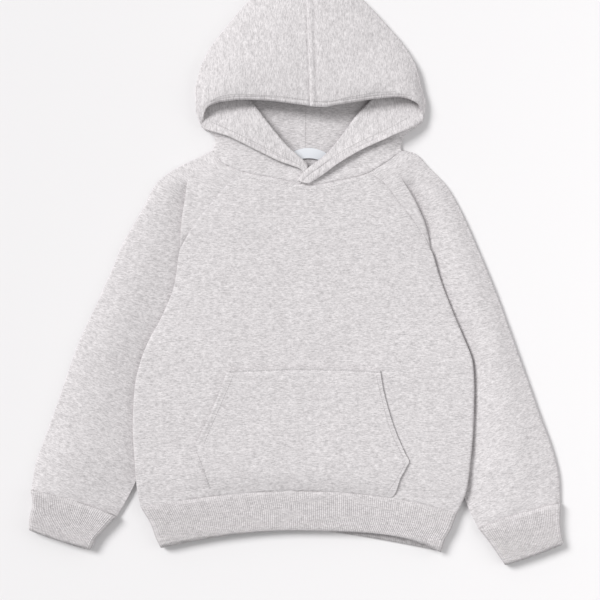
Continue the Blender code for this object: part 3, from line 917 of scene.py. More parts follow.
@dataclass
class Sleeve:
    """One raglan sleeve, its pleat tucked under the body.

    Attributes:
        inward: 1 where the body lies towards +x, -1 where it lies towards -x.
        rise_power: how softly the upper layer rises; less is steeper.
        sag: how far past the covered part the rise starts; below 0, under the body.
        seam_depth: depth of the groove at the raglan seam.
        lean: above 1, the crown's top lies nearer the outer fold.
        flatter: how much lower the crown is where the body covers a part of it.
        ripple_seed: picks the pattern of the ripples.
        end_power: rise_power of the last section.
        edge_share: height of the outer fold's upper layer, as a share of the crown.
        still_edge: how far from its seams the cloth starts to ripple.
    """

    name: str
    sections: tuple[SleeveSection, ...]
    inward: float
    creases: list[Crease]
    rise_power: float
    sag: float
    seam_depth: float
    lean: float
    flatter: float
    ripple_seed: float
    end_power: float = 0.35
    edge_share: float = 0.42
    ripple_depth: float = 1.1
    ripple_size: float = 34.0
    still_edge: float = 10.0
    seam_width: float = 1.8
    neck_groove: Groove = Groove(0.6, 2.0)
    cuff_groove: Groove = Groove(0.8, 2.4)
    cut_m: tuple[float, float] = (0.31, 0.36)
    cut_area: float = 0.071
    lead_steps: int = 6
    run_steps: int = 40
    floor_steps: int = 14

    @property
    def lead_points(self) -> int:
        """How many points come before the upper layer: seam, lead and two folds."""
        return self.lead_steps + 1 + 2 * NOSE

    def section(self, s: SleeveSection) -> list[np.ndarray]:
        """The points of one section, always the same number.

        Args:
            s: the section's values.

        Returns:
            The points, from the upper seam round to the lower one.
        """
        low = FLOOR + PITCH
        seam = np.array(s.seam, float) - (self.inward * GAP, 0.0)
        edge = hairpin(s.outer, s.inner, s.back, s.crown * self.edge_share, FLOOR)
        if s.kind is Kind.OPEN:
            lead, top = self.shoulder(lift(seam, s.top), np.array(s.fold, float), edge[0])
        elif s.kind is Kind.PLEAT:
            start = lift(seam, s.top)
            turn = hairpin(s.fold, seam, s.inner, s.top - 1.2, low + PITCH)
            inner = hairpin(s.inner, s.fold, s.outer, low + PITCH, low)
            lead = [start] + run(start, turn[0], self.lead_steps) + turn + inner
        elif s.kind is Kind.TUCK:
            start = lift(seam + (2 * self.inward * GAP, 0.0), low + PITCH)
            inner = hairpin(s.inner, s.outer, s.outer, low + PITCH, low)
            lead = [start] * (self.lead_points - NOSE) + inner
        else:
            lead = [lift(s.inner, low)] * self.lead_points
        if s.kind is not Kind.OPEN:
            top = self.top_layer(lead[-1], edge[0], s)
        back_seam = np.array(s.back, float)
        if s.kind not in (Kind.TUBE, Kind.END):
            back_seam -= (self.inward * GAP, 0.0)
        end = lift(back_seam, FLOOR)
        return lead + top + edge + run(edge[-1], end, self.floor_steps) + [end]

    def shoulder(self, a: np.ndarray, tip: np.ndarray, b: np.ndarray) -> tuple[list, list]:
        """Seam to outer edge over the shoulder, where no pleat parts the cloth yet.

        Args:
            a: the seam.
            tip: where the pleat would turn.
            b: the start of the outer fold.

        Returns:
            The points up to the pleat, and those beyond it.
        """
        near, far = np.hypot(*(tip - a[:2])), np.hypot(*(b[:2] - tip))
        turn = near / (near + far)

        def place(share: float) -> np.ndarray:
            """The point at a share of the way from the seam to the outer edge.

            Args:
                share: from 0 to 1.

            Returns:
                The point.
            """
            if share <= turn:
                plan = mix(a[:2], tip, share / turn)
            else:
                plan = mix(tip, b[:2], (share - turn) / (1.0 - turn))
            return lift(plan, a[2] + (b[2] - a[2]) * share**2.2)

        lead = [place(u) for u in np.linspace(0.0, turn, self.lead_steps + 2)]
        top = [place(u) for u in np.linspace(turn, 1.0, self.run_steps + 2)[1:-1]]
        return lead + [lead[-1]] * (self.lead_points - len(lead)), top

    def top_layer(self, a: np.ndarray, b: np.ndarray, s: SleeveSection) -> list[np.ndarray]:
        """The upper layer: flat where the body lies on it, softly crowned outside.

        Args:
            a: where the layer starts.
            b: where its outer fold starts.
            s: the section's values.

        Returns:
            The points between a and b.
        """
        length = np.hypot(*(b - a)[:2])
        covered = smooth_step(s.cover, 4.0, 16.0)
        start = (s.cover + self.sag * covered) / length
        power = self.end_power if s.kind is Kind.END else self.rise_power
        points = []
        for t in np.linspace(0.0, 1.0, self.run_steps + 2)[1:-1]:
            share = max(0.0, (t - start) / (1.0 - start))
            point = mix(a, b, t)
            rise = s.crown - self.flatter * covered - (a[2] + b[2]) / 2.0
            point[2] = a[2] + (b[2] - a[2]) * share + rise * np.sin(pi * share**self.lean) ** power
            points.append(point)
        return points

    def surface(self) -> np.ndarray:
        """All the sleeve's points, creases and seam grooves pressed in.

        Returns:
            Rows of points, from the neck to the cuff.
        """
        rows = [self.section(s) for s in self.sections]
        follow_neck(rows[0], -GAP)
        points = loft(rows, 4.0, (6, 2))
        follow_raglan(points[:, 0], self.sections, -self.inward * GAP)
        last = self.sections[-1]
        width = last.outer[0] - last.inner[0]
        share = np.clip((points[..., 0] - last.inner[0]) / width, 0.0, 1.0)
        near_cuff = np.linspace(0.0, 1.0, len(points))[:, None] ** CUFF_BOW_FADE
        points[..., 1] += near_cuff * CUFF_SEAM_BOW * 4.0 * share * (1.0 - share)
        weight = self.top_weight(points)
        free = away_from(points, ("first_row", "last_row"), self.still_edge)
        on_raglan = points[..., 1] > RAGLAN_END
        free[on_raglan] *= away_from(points, ("first_column",), self.still_edge)[on_raglan]
        ripple(points, self.ripple_depth, self.ripple_size, self.ripple_seed, weight * free)
        press(points, self.creases, weight)
        visible = smooth_step(points[..., 1], 0.0, 30.0)
        roll_seam(points, "first_column", visible, Groove(self.seam_depth, self.seam_width))
        roll_seam(points, "first_row", weight, self.neck_groove)
        roll_seam(points, "last_row", weight, self.cuff_groove)
        return points

    def top_weight(self, points: np.ndarray) -> np.ndarray:
        """1 over the upper layer, fading to 0 at its folds and hidden parts.

        Args:
            points: rows of points.

        Returns:
            A weight for each point.
        """
        rows, columns, _ = points.shape
        weight = np.zeros((rows, columns))
        first = self.lead_points
        last = first + self.run_steps
        weight[:, first:last] = smooth_step(np.sin(np.linspace(0.0, pi, last - first)), 0.0, 0.6)
        strip = edge_distance(points, "first_column")
        pleat = (strip[:, first] - strip[:, self.lead_steps + 1])[:, None]
        column = np.arange(columns)[None, :]
        whole = (1.0 - smooth_step(pleat, 0.5, 5.0)) * (1.0 - smooth_step(column, last - 14, last))
        weight[:, : self.lead_steps + 1] = smooth_step(strip[:, [self.lead_steps + 1]] - strip, 0.0, 4.0)[
            :, : self.lead_steps + 1
        ]
        return np.maximum(weight, whole) * smooth_step(points[..., 2], 7.0, 10.0)

    def build(self, material: bpy.types.Material) -> bpy.types.Object:
        """Make the sleeve.

        Args:
            material: the cloth's finish.

        Returns:
            The finished piece.
        """
        points = self.surface()
        obj = cloth_grid(f"{self.name}_cloth", points, arc_uv(points), WALL)
        finish_piece(obj, self.name, material)
        return obj


# --------------------------------------------------------------- body
LEFT_SIDE = (
    SideSection((-128, -20), (-120, -20), 1.0),
    SideSection((-142, -56), (-117, -56), 1.0),
    SideSection((-155, -80), (-127, -79), 5.8),
    SideSection((-163, -100), (-146, -99), 6.7),
    SideSection((-170, -130), (-163, -130), 6.7),
    SideSection((-172, -170), (-170, -170), 6.7),
    SideSection((-170, -208), (-168, -208), 6.7),
    SideSection((-168, -234), (-166, -234), 6.0),
    SideSection((-164, -257), (-162, -257), 1.0),
)
RIGHT_SIDE = (
    SideSection((153, -16), (146, -20), 1.0),
    SideSection((168.5, -56), (147, -56), 1.0),
    SideSection((178.5, -80), (154, -79), 5.8),
    SideSection((187, -104), (168, -103), 6.7),
    SideSection((188.5, -132), (182, -132), 6.7),
    SideSection((187.5, -170), (186, -170), 6.7),
    SideSection((184.5, -208), (182.5, -208), 6.7),
    SideSection((180.5, -238), (178.5, -238), 6.4),
    SideSection((171, -263), (169, -263), 1.0),
)
FRONT_MIDDLE = (84.5, 75, 65, 48, 30, 8, -24, -62, -86, -106, -130, -164, -196, -218, -240)
BACK_MIDDLE = (113.5, 103, 92, 73, 46, 15, -22, -60, -86, -106, -130, -164, -196, -218, -240)
FRONT_CREASES = [
    Crease((88, -262), (108, -250), 1.2, 2.0),
    Crease((108, -252), (118, -244), 1.0, 2.0),
    Crease((-112, 34), (-98, 30), 0.5, 1.8),
    Crease((-104, 48), (-90, 42), 0.5, 1.8),
    Crease((-92, 62), (-80, 55), 0.5, 1.8),
    Crease((-80, 75), (-69, 66), 0.4, 1.8),
    Crease((98, 84), (90, 72), 0.4, 1.8),
    Crease((112, 64), (103, 55), 0.5, 1.8),
    Crease((126, 46), (114, 40), 0.5, 1.8),
    Crease((-30, 60), (40, 40), 0.4, 9.0),
    Crease((-120, -60), (-80, -90), 0.5, 9.0),
    Crease((60, -30), (140, -70), 0.4, 10.0),
]


def waist_seam(x: float) -> float:
    """Place of the waist seam over x, along the front.

    Args:
        x: the place across the body.

    Returns:
        Its y.
    """
    left, right = LEFT_SIDE[-1].fold, RIGHT_SIDE[-1].fold
    t = (x - left[0]) / (right[0] - left[0])
    return FRONT_MIDDLE[-1] + (left[1] + (right[1] - left[1]) * t - FRONT_MIDDLE[-1]) * (2.0 * t - 1.0) ** 2


@dataclass
class BodyFront:
    """The front, from the armhole seams round under its side folds."""

    creases: list[Crease]
    waist_z: float = 11.8
    waist_fall: float = 15.0
    ripple_depth: float = 0.9
    ripple_size: float = 42.0
    ripple_seed: float = 3.0
    still_edge: float = 10.0
    left_groove: Groove = Groove(-0.15, 2.2)
    right_groove: Groove = Groove(0.4, 1.8)
    neck_groove: Groove = Groove(1.8, 1.0)
    neck_lines: tuple[Groove, ...] = (Groove(0.35, 0.9, 5.0), Groove(0.2, 1.0, 9.5))
    waist_groove: Groove = Groove(1.7, 1.1)
    strip_steps: int = 4
    run_steps: int = 84
    cut_m: tuple[float, float] = (0.39, 0.37)
    cut_area: float = 0.108

    @property
    def end_points(self) -> int:
        """How many points lie at each end of a section: seam, strip and fold."""
        return self.strip_steps + 1 + NOSE

    def end(self, row: int, left: bool) -> list[np.ndarray]:
        """The points at one end of a section, outermost or undermost first.

        Args:
            row: the section's number.
            left: whether it is the left end.

        Returns:
            The points, always the same number.
        """
        side = 1.0 if left else -1.0
        if row < RAGLAN_ROWS:
            s = (LEFT_SLEEVE if left else RIGHT_SLEEVE)[row]
            inset = side * GAP if s.kind is not Kind.TUCK else 0.0
            edge = lift((s.seam[0] + inset, s.seam[1]), s.top)
            return [edge] * self.end_points
        s = (LEFT_SIDE if left else RIGHT_SIDE)[row - RAGLAN_ROWS]
        strip_z = max(s.hollow + PITCH, FLOOR + 2.0 * PITCH)
        centre = (MIDDLE, FRONT_MIDDLE[row])
        turn = hairpin(s.fold, centre, centre, strip_z + 1.3 * PITCH, strip_z)
        start = lift((s.seam[0] - side * GAP, s.seam[1]), strip_z)
        return [start] + run(start, turn[-1], self.strip_steps) + turn[::-1]

    def section(self, row: int) -> list[np.ndarray]:
        """The points of one section, side seam to side seam.

        Args:
            row: the section's number.

        Returns:
            The points.
        """
        left, right = self.end(row, True), self.end(row, False)
        a, b = left[-1], right[-1]
        middle_y = FRONT_MIDDLE[row]
        main = []
        for t in np.linspace(0.0, 1.0, self.run_steps + 2)[1:-1]:
            x = a[0] + (b[0] - a[0]) * t
            s = 2.0 * t - 1.0
            if row == 0:
                y, z = neck(x)
                y -= GAP
            else:
                power = 1.4 if row < 3 else 2.0
                y = middle_y + (a[1] + (b[1] - a[1]) * t - middle_y) * abs(s) ** power
                edge_z = a[2] + (b[2] - a[2]) * t
                z = edge_z + (BODY_LOFT - edge_z) * (1.0 - abs(s) ** 3.2)
            main.append(np.array([x, y, z]))
        if row == 0:
            for end in (left, right):
                y = neck(end[0][0])[0] - GAP
                for point in end:
                    point[1] = y
        return left + main + right[::-1]

    def surface(self) -> np.ndarray:
        """All the front's points, creases and seam grooves pressed in.

        Returns:
            Rows of points, from the neck to the waist.
        """
        rows = [self.section(row) for row in range(len(FRONT_MIDDLE))]
        points = loft(rows, 4.0, (18, 20))
        columns = points.shape[1]
        lead = self.end_points
        for edge in range(lead):
            follow_raglan(points[:, edge], LEFT_SLEEVE, GAP)
            follow_raglan(points[:, -1 - edge], RIGHT_SLEEVE, -GAP)
        across = np.zeros(columns)
        across[lead - 4 : columns - lead + 4] = 1.0
        weight = across[None, :] * np.ones(len(points))[:, None]
        sides = ("first_column", "last_column")
        free = away_from(points, ("first_row", "last_row", *sides), self.still_edge)
        ripple(points, self.ripple_depth, self.ripple_size, self.ripple_seed, weight * free)
        press(points, self.creases, weight * away_from(points, sides, 4.0))
        visible = weight * smooth_step(points[..., 1], 12.0, 30.0)
        roll_seam(points, "first_column", visible, self.left_groove)
        roll_seam(points, "last_column", visible, self.right_groove)
        roll_seam(points, "first_row", weight, self.neck_groove)
        from_neck = edge_distance(points, "first_row")
        for line in self.neck_lines:
            groove(points, from_neck, weight, line)
        from_waist = edge_distance(points, "last_row")
        over = np.maximum(0.0, points[..., 2] - self.waist_z)
        points[..., 2] -= weight * over * np.exp(-((from_waist / self.waist_fall) ** 2))
        roll_seam(points, "last_row", weight * seam_arcs(points[..., 0]), self.waist_groove)
        return points

    def build(self, points: np.ndarray, material: bpy.types.Material) -> bpy.types.Object:
        """Make the front.

        Args:
            points: the front's points.
            material: the cloth's finish.

        Returns:
            The finished piece.
        """
        obj = cloth_grid("body_front_cloth", points, plan_uv(points), WALL)
        finish_piece(obj, "body_front", material)
        return obj


@dataclass
class BodyBack:
    """The back, flat on the floor, lifted over the sleeves at its sides."""

    run_steps: int = 60
    cut_m: tuple[float, float] = (0.38, 0.4)
    cut_area: float = 0.098

    def section(self, row: int) -> list[np.ndarray]:
        """The points of one section, side seam to side seam.

        Args:
            row: the section's number.

        Returns:
            The points.
        """
        ends = []
        for left, side in ((True, 1.0), (False, -1.0)):
            if row <= RAGLAN_ROWS:
                s = (LEFT_SLEEVE if left else RIGHT_SLEEVE)[row]
                ends.append(lift((s.back[0] + side * GAP, s.back[1]), FLOOR))
            else:
                s = (LEFT_SIDE if left else RIGHT_SIDE)[row - RAGLAN_ROWS]
                ends.append(lift((s.seam[0] + side * GAP, s.seam[1]), s.hollow))
        a, b = ends
        points = []
        for t in np.linspace(0.0, 1.0, self.run_steps):
            s = 2.0 * t - 1.0
            x = a[0] + (b[0] - a[0]) * t
            y = BACK_MIDDLE[row] + (a[1] + (b[1] - a[1]) * t - BACK_MIDDLE[row]) * s * s
            if row == 0:
                y = back_neck(x) - GAP
            edge_z = a[2] if s < 0.0 else b[2]
            inside = (1.0 - abs(s)) * (b[0] - a[0]) / 2.0
            z = edge_z + (FLOOR - edge_z) * smooth_step(inside, 34.0, 58.0)
            points.append(np.array([x, y, z]))
        return points

    def build(self, material: bpy.types.Material) -> bpy.types.Object:
        """Make the back.

        Args:
            material: the cloth's finish.

        Returns:
            The finished piece.
        """
        points = loft([self.section(row) for row in range(len(BACK_MIDDLE))], 6.0)
        obj = cloth_grid("body_back_cloth", points, plan_uv(points), WALL)
        finish_piece(obj, "body_back", material)
        return obj


# --------------------------------------------------------------- hood
LEFT_HOOD = (
    turned_section((5.5, 86.8), (5.5, 86.8), (-38, 96), (-88, 123), (10, 114), 15.2, 15.2),
    turned_section((7.5, 98.2), (12, 103.2), (-36, 104), (-86, 127), (10, 123), 17.2, 16.4),
    turned_section((-18, 110), (2, 115), (-36, 113), (-85, 131), (10, 132), 17.4, 16.4),
    turned_section((-42, 122), (-10, 126), (-42, 122), (-86, 137), (10, 141), 17.4, 16.0),
    turned_section((-70, 136), (-22, 140), (-56, 134), (-91, 143), (10, 151), 16.5, 15.5),
    turned_section((-99, 149), (-36, 158), (-66, 147), (-99, 147), (10, 163), 9.4, 14.0),
    pleat_section((-95, 166), (-105, 164), (-46, 172), (-70, 160), (-104, 163), (10, 178), 17.0, 13.0),
    pleat_section((-78, 173), (-106, 184), (-60, 188), (-80, 182), (-105, 184), (10, 202), 19.0, 12.0),
    pleat_section((-54, 175), (-101, 207), (-78, 208), (-90, 206), (-100, 207), (10, 232), 20.5, 10.0),
    plain_section((-32, 174), (-92, 228), (10, 258), 21.5),
    plain_section((-14, 172), (-77, 248), (10, 280), 22.0),
    plain_section((1, 170), (-49, 281), (10, 300), 22.0),
    plain_section((9, 169), (-20, 305), (10, 308), 22.0),
    plain_section((15, 168), (10, 316), (10, 311), 22.0),
)
RIGHT_HOOD = (
    turned_section((15, 86.8), (2.3, 89.8), (60, 96), (112, 123), (10, 114), 17.6, 17.2),
    turned_section((27.5, 94.6), (14.5, 102.7), (62, 104), (111, 127), (10, 123), 19.0, 18.0),
    turned_section((43, 106), (27, 112), (68, 112), (112, 131), (10, 132), 19.0, 15.5),
    turned_section((70, 122), (39, 124), (78, 122), (114, 137), (10, 141), 18.6, 11.0),
    turned_section((100, 136), (50, 138), (90, 134), (120, 143), (10, 151), 17.5, 9.0),
    turned_section((135, 157), (63, 156), (100, 148), (135, 155), (10, 163), 9.4, 8.5),
    pleat_section((128, 172), (137, 172), (75, 170), (104, 162), (136, 171), (10, 178), 17.0, 13.0),
    pleat_section((108, 178), (133, 189), (92, 188), (112, 184), (132, 189), (10, 202), 19.0, 12.0),
    pleat_section((84, 176), (128, 209), (108, 208), (118, 207), (127, 209), (10, 232), 20.5, 10.0),
    plain_section((60, 172), (115, 233), (10, 258), 21.5),
    plain_section((42, 169), (99, 252), (10, 280), 22.0),
    plain_section((30, 167), (72, 281), (10, 300), 22.0),
    plain_section((21, 167), (42, 304), (10, 308), 22.0),
    plain_section((15, 168), (10, 316), (10, 311), 22.0),
)
LEFT_HOOD_CREASES = [
    Crease((-60, 262), (-24, 214), 0.7, 7.0),
    Crease((-88, 206), (-52, 196), 0.6, 6.0),
]
RIGHT_HOOD_CREASES = [
    Crease((92, 246), (58, 206), 0.8, 7.0),
    Crease((118, 212), (84, 200), 0.6, 6.0),
]


@dataclass
class HoodHalf:
    """Half the hood: crown above, turned-back front, neck part and back below.

    Attributes:
        seam_side: -1 for the half at the left of the centre seam, 1 for the other.
        lapel_lines: distances of the turned strip's grooves from the front edge.
        ridge: height of the ridge beside the centre seam.
        strip_bow: how far the turned strip's lower end is rounded out.
        ripple_seed: picks the pattern of the ripples.
        still_seam: how far from the centre seam the cloth starts to ripple.
        strip_reach: how far from the neck seam the rounding is felt.
    """

    name: str
    sections: tuple[HoodSection, ...]
    seam_side: float
    creases: list[Crease]
    lapel_lines: tuple[float, ...]
    ridge: float
    strip_bow: float
    ripple_seed: float
    ripple_depth: float = 1.0
    ripple_size: float = 40.0
    still_seam: float = 14.0
    edge_groove: Groove = Groove(0.7, 1.5)
    brow_groove: Groove = Groove(0.5, 1.2, 4.2)
    lapel_groove: Groove = Groove(0.7, 1.2)
    centre_groove: Groove = Groove(0.9, 1.3)
    neck_groove: Groove = Groove(1.9, 1.2)
    strip_reach: float = 3.0
    crown_steps: int = 60
    turned_steps: int = 36
    under_steps: int = 20
    floor_steps: int = 16
    cut_m: tuple[float, float] = (0.27, 0.36)
    cut_area: float = 0.044

    @property
    def crown_end(self) -> int:
        """The column where the fold at the brow begins."""
        return self.crown_steps + 1

    @property
    def turned_end(self) -> int:
        """The column where the inner fold of the turned edge begins."""
        return self.crown_end + NOSE + self.turned_steps

    def crown_run(self, a: np.ndarray, b: np.ndarray, rise: float) -> list[np.ndarray]:
        """The crown from its front edge to its fold, with more points near the edge.

        Args:
            a: the front edge.
            b: the fold.
            rise: how far the middle rises above both.

        Returns:
            The points between a and b.
        """
        points = []
        for u in np.linspace(0.0, 1.0, self.crown_steps + 2)[1:-1]:
            t = u**1.5
            point = mix(a, b, t)
            point[2] += rise * np.sin(pi * t) ** 0.7
            points.append(point)
        return points

    def section(self, h: HoodSection) -> list[np.ndarray]:
        """The points of one section, always the same number.

        Args:
            h: the section's values.

        Returns:
            The points, from the front edge round to the back seam.
        """
        low = FLOOR + PITCH
        shift = np.array((self.seam_side * GAP, 0.0))
        back = np.array(h.back, float) + shift
        if h.kind is Kind.TURNED:
            start = lift(h.rim, h.rim_z)
            lead = [start] * (self.crown_end + NOSE)
            turn = hairpin(h.fold, h.rim, h.under, h.fold_z, h.fold_z - PITCH)
        elif h.kind is Kind.PLEAT:
            start = lift(h.rim, h.rim_z)
            brow = hairpin(h.brow, h.rim, h.fold, low + 2.0 * PITCH, low + PITCH)
            turn = hairpin(h.fold, h.brow, h.under, low + PITCH, low)
            width = np.hypot(h.brow[0] - h.rim[0], h.brow[1] - h.rim[1])
            rise = (CROWN_LOFT - (h.rim_z + brow[0][2]) / 2.0) * 0.75 * smooth_step(width, 0.0, 40.0)
            lead = [start] + self.crown_run(start, brow[0], rise) + brow
        else:
            start = lift(np.array(h.rim, float) + shift, h.rim_z)
            brow_at = np.array(h.brow, float) + shift
            nose = hairpin(brow_at, h.rim, back, h.fold_z + PITCH, FLOOR)
            rise = CROWN_LOFT - (h.rim_z + nose[0][2]) / 2.0
            lead = [start] + self.crown_run(start, nose[0], rise) + nose[:TIP] + [nose[TIP]] * (NOSE - TIP)
            turn = [nose[TIP]] * NOSE
        if h.kind is Kind.PLAIN:
            under = [nose[TIP]] * self.under_steps
            side = [nose[TIP]] * TIP + nose[TIP:]
        else:
            side = hairpin(h.side, h.under, back, low + 0.8, FLOOR)
            peak = min(12.0, h.fold_z + 0.6) if h.kind is Kind.TURNED else 3.0
            under = run(turn[-1], side[0], self.under_steps, h.under)
            for k, point in enumerate(under):
                bulge = np.sin(pi * (k + 1.0) / (self.under_steps + 1.0)) ** 0.6
                point[2] += max(0.0, peak - point[2]) * bulge
        end = lift(back, FLOOR)
        turned = run(lead[-1], turn[0], self.turned_steps)
        return lead + turned + turn + under + side + run(side[-1], end, self.floor_steps) + [end]

    def surface(self) -> np.ndarray:
        """All the half's points, creases and seam grooves pressed in.

        Returns:
            Rows of points, from the neck to the top of the head.
        """
        rows = [self.section(h) for h in self.sections]
        crown_end, turned_end = self.crown_end, self.turned_end
        under_end = turned_end + NOSE + self.under_steps
        follow_neck(rows[0][turned_end + NOSE - 2 :], GAP)
        points = loft(rows, 3.2, (16, 14))
        column = np.arange(points.shape[1])[None, :]
        from_edge = edge_distance(points, "first_column")
        on_crown = smooth_step(from_edge[:, [crown_end]], 4.0, 30.0)
        on_lapel = 1.0 - smooth_step(from_edge[:, [crown_end]], 0.5, 6.0)
        crown = on_crown * (1.0 - smooth_step(column, crown_end - 8, crown_end))
        lapel = on_lapel * (1.0 - smooth_step(column, turned_end - 6, turned_end))
        free = away_from(points, ("last_row",), self.still_seam)
        ripple(points, self.ripple_depth, self.ripple_size, self.ripple_seed, crown * free)
        press(points, self.creases, crown)
        face = np.maximum(crown, lapel)
        roll_seam(points, "first_column", face, self.edge_groove)
        groove(points, from_edge, crown, self.brow_groove)
        for inset in self.lapel_lines:
            groove(points, from_edge, lapel, replace(self.lapel_groove, inset=inset))
        from_seam = edge_distance(points, "last_row")
        groove(points, from_seam, crown, self.centre_groove)
        groove(points, from_seam, crown, Groove(-self.ridge, 2.2, 3.6))
        groove(points, from_seam, crown, Groove(self.ridge * 0.7, 2.0, 8.2))
        neck_part = ((column >= turned_end + NOSE) & (column < under_end)).astype(float)
        roll_seam(points, "first_row", neck_part, self.neck_groove)
        share = np.clip((column - crown_end - NOSE) / (self.turned_steps + NOSE - 1.0), 0.0, 1.0)
        strip_end = np.exp(-((edge_distance(points, "first_row") / self.strip_reach) ** 2))
        points[..., 1] -= self.strip_bow * 4.0 * share * (1.0 - share) * strip_end
        return points

    def pairs(self, points: np.ndarray) -> np.ndarray:
        """Pairs that turn the grain of the part below the fold a quarter round.

        Args:
            points: the half's points.

        Returns:
            A pair for each point, in metres.
        """
        uv = plan_uv(points)
        below = self.turned_end + TIP + 1
        uv[:, below:] = np.stack([-uv[:, below:, 1], uv[:, below:, 0]], axis=2)
        return uv

    def build(self, points: np.ndarray, material: bpy.types.Material) -> bpy.types.Object:
        """Make the half.

        Args:
            points: the half's points.
            material: the cloth's finish.

        Returns:
            The finished piece.
        """
        obj = cloth_grid(f"{self.name}_cloth", points, self.pairs(points), WALL)
        finish_piece(obj, self.name, material)
        return obj


# --------------------------------------------------------------- rib bands
RIB_PITCH = 2.2
WAISTBAND = (
    BandSection((-164, -257), (171, -263), 20, 11.5, 20),
    BandSection((-153, -276), (164, -281), 14, 11.5, 14),
    BandSection((-148, -290), (157, -293), 13, 11.5, 11, (2.0, 2.4), (2.2, 1.8)),
    BandSection((-143, -300), (154, -305), 21, 11.0, 21, (1.8, 4.0), (2.6, 1.4)),
)
LEFT_CUFF = (
    BandSection((-281, -239), (-191, -267), CUFF_SEAM_BOW, 11.5, CUFF_SEAM_BOW),
    BandSection((-279, -254), (-203, -279), -1, 11.5, -1),
    BandSection((-282, -268), (-213, -290), -2, 11.5, -2),
    BandSection((-283, -281), (-219, -302), -1, 11.0, -1),
)
RIGHT_CUFF = (
    BandSection((195, -280), (281, -253), CUFF_SEAM_BOW, 11.5, CUFF_SEAM_BOW),
    BandSection((207, -295), (280, -270), -1, 11.5, -1),
    BandSection((216, -308), (281, -284), -2, 11.5, -2),
    BandSection((223, -318), (284, -296), -1, 11.0, -1),
)


@dataclass
class RibBand:
    """A flat tube of rib knit, its ribs running from seam to hem."""

    name: str
    sections: tuple[BandSection, ...]
    cut_m: tuple[float, float]
    on_waist: bool = False
    rib_pitch: float = RIB_PITCH
    rib_depth: float = 0.28
    steps_a_rib: int = 4
    edge_radius: float = 5.0
    seam_groove: Groove = Groove(1.3, 1.2)
    hem_groove: Groove = Groove(1.0, 1.8)

    def surface(self) -> tuple[np.ndarray, np.ndarray]:
        """The band's points and the pair that its ribs are drawn from.

        Returns:
            Rings of points from seam to hem, and the pairs.
        """
        first = self.sections[0]
        width = float(np.hypot(first.right[0] - first.left[0], first.right[1] - first.left[1]))
        ribs = round(width / self.rib_pitch)
        count = ribs * self.steps_a_rib
        low = RIB_WALL / 2.0
        rows = []
        for s in self.sections:
            ring = []
            for top in (True, False):
                for k in range(count):
                    t = (k + 0.5) / count
                    t = t if top else 1.0 - t
                    x, y = mix(s.left, s.right, t)
                    bow, fall = (s.bow, s.fall) if top else (s.floor_bow, s.floor_fall)
                    y += bow * (1.0 - abs(2.0 * t - 1.0) ** fall[t > 0.5])
                    if s is first:
                        y = (waist_seam(x) if self.on_waist else y) - GAP * 1.5
                    edge = min(t, 1.0 - t) * width
                    round_off = np.sqrt(1.0 - (1.0 - min(edge / self.edge_radius, 1.0)) ** 2)
                    middle_z = (s.top + low) / 2.0
                    z = middle_z + ((s.top if top else low) - middle_z) * round_off
                    ring.append(np.array([x, y, z]))
            rows.append(ring)
        points = loft(rows, 3.0, (14, 2))
        u = (np.arange(2 * count) / self.steps_a_rib) * self.rib_pitch * MM
        wave = np.cos(2.0 * pi * np.arange(2 * count) / self.steps_a_rib)
        sign = np.where(np.arange(2 * count) < count, 1.0, -1.0)
        down = edge_distance(points, "first_row")
        total = down[-1].mean()
        v = down.mean(axis=1)
        flat_end = smooth_step(v, 0.5, 3.0) * (1.0 - smooth_step(v, total - 1.2, total))
        top_layer = (sign > 0.0).astype(float)[None, :] * np.ones(len(points))[:, None]
        points[..., 2] += wave * self.rib_depth * flat_end[:, None] * sign * np.where(sign > 0.0, 1.0, 0.5)
        drawn_in = seam_arcs(points[..., 0]) if self.on_waist else 1.0
        roll_seam(points, "first_row", top_layer * drawn_in, self.seam_groove)
        roll_seam(points, "last_row", top_layer, self.hem_groove)
        across = np.repeat(u[None, :], len(points), axis=0)
        along = np.repeat(v[:, None] * MM, 2 * count, axis=1)
        pairs = np.stack([across, along], axis=2)
        close = pairs[:, :1] + (2 * count / self.steps_a_rib * self.rib_pitch * MM, 0.0)
        return points, np.concatenate([pairs, close], axis=1)

    def build(self, material: bpy.types.Material) -> bpy.types.Object:
        """Make the band.

        Args:
            material: the cloth's finish.

        Returns:
            The finished piece.
        """
        points, uv = self.surface()
        obj = cloth_grid(f"{self.name}_cloth", points, uv, RIB_WALL, ring=True)
        finish_piece(obj, self.name, material)
        return obj


# --------------------------------------------------------------- pocket and label
POCKET_LEFT = (
    (-72, -111), (-79, -130), (-87, -150), (-96, -170), (-103, -184),
    (-105.5, -190), (-104, -197), (-98, -213), (-90, -236),
)
POCKET_RIGHT = (
    (89, -111), (92, -130), (97, -150), (105, -175), (115, -198),
    (119.5, -207.5), (117, -213), (110, -226), (99, -244),
)


def top_of(objects: list[bpy.types.Object]) -> Callable[[float, float], Optional[tuple[Vector, Vector]]]:
    """A probe that gives the place and normal of the topmost cloth over a plan point.

    Args:
        objects: the pieces to look down on.

    Returns:
        The probe.
    """
    trees = []
    for obj in objects:
        mesh = obj.data
        corners = [tuple(v.co) for v in mesh.vertices]
        faces = [tuple(p.vertices) for p in mesh.polygons]
        trees.append(BVHTree.FromPolygons(corners, faces))

    def probe(x: float, y: float) -> Optional[tuple[Vector, Vector]]:
        """The highest hit under (x, y), in millimetres in plan.

        Args:
            x: the place across the body.
            y: the place along it.

        Returns:
            Its place and normal, or None off the cloth.
        """
        best = None
        for tree in trees:
            place, normal, _, _ = tree.ray_cast(Vector((x * MM, y * MM, 0.2)), Vector((0.0, 0.0, -1.0)))
            if place is not None and (best is None or place.z > best[0].z):
                best = (place, normal)
        return best

    return probe


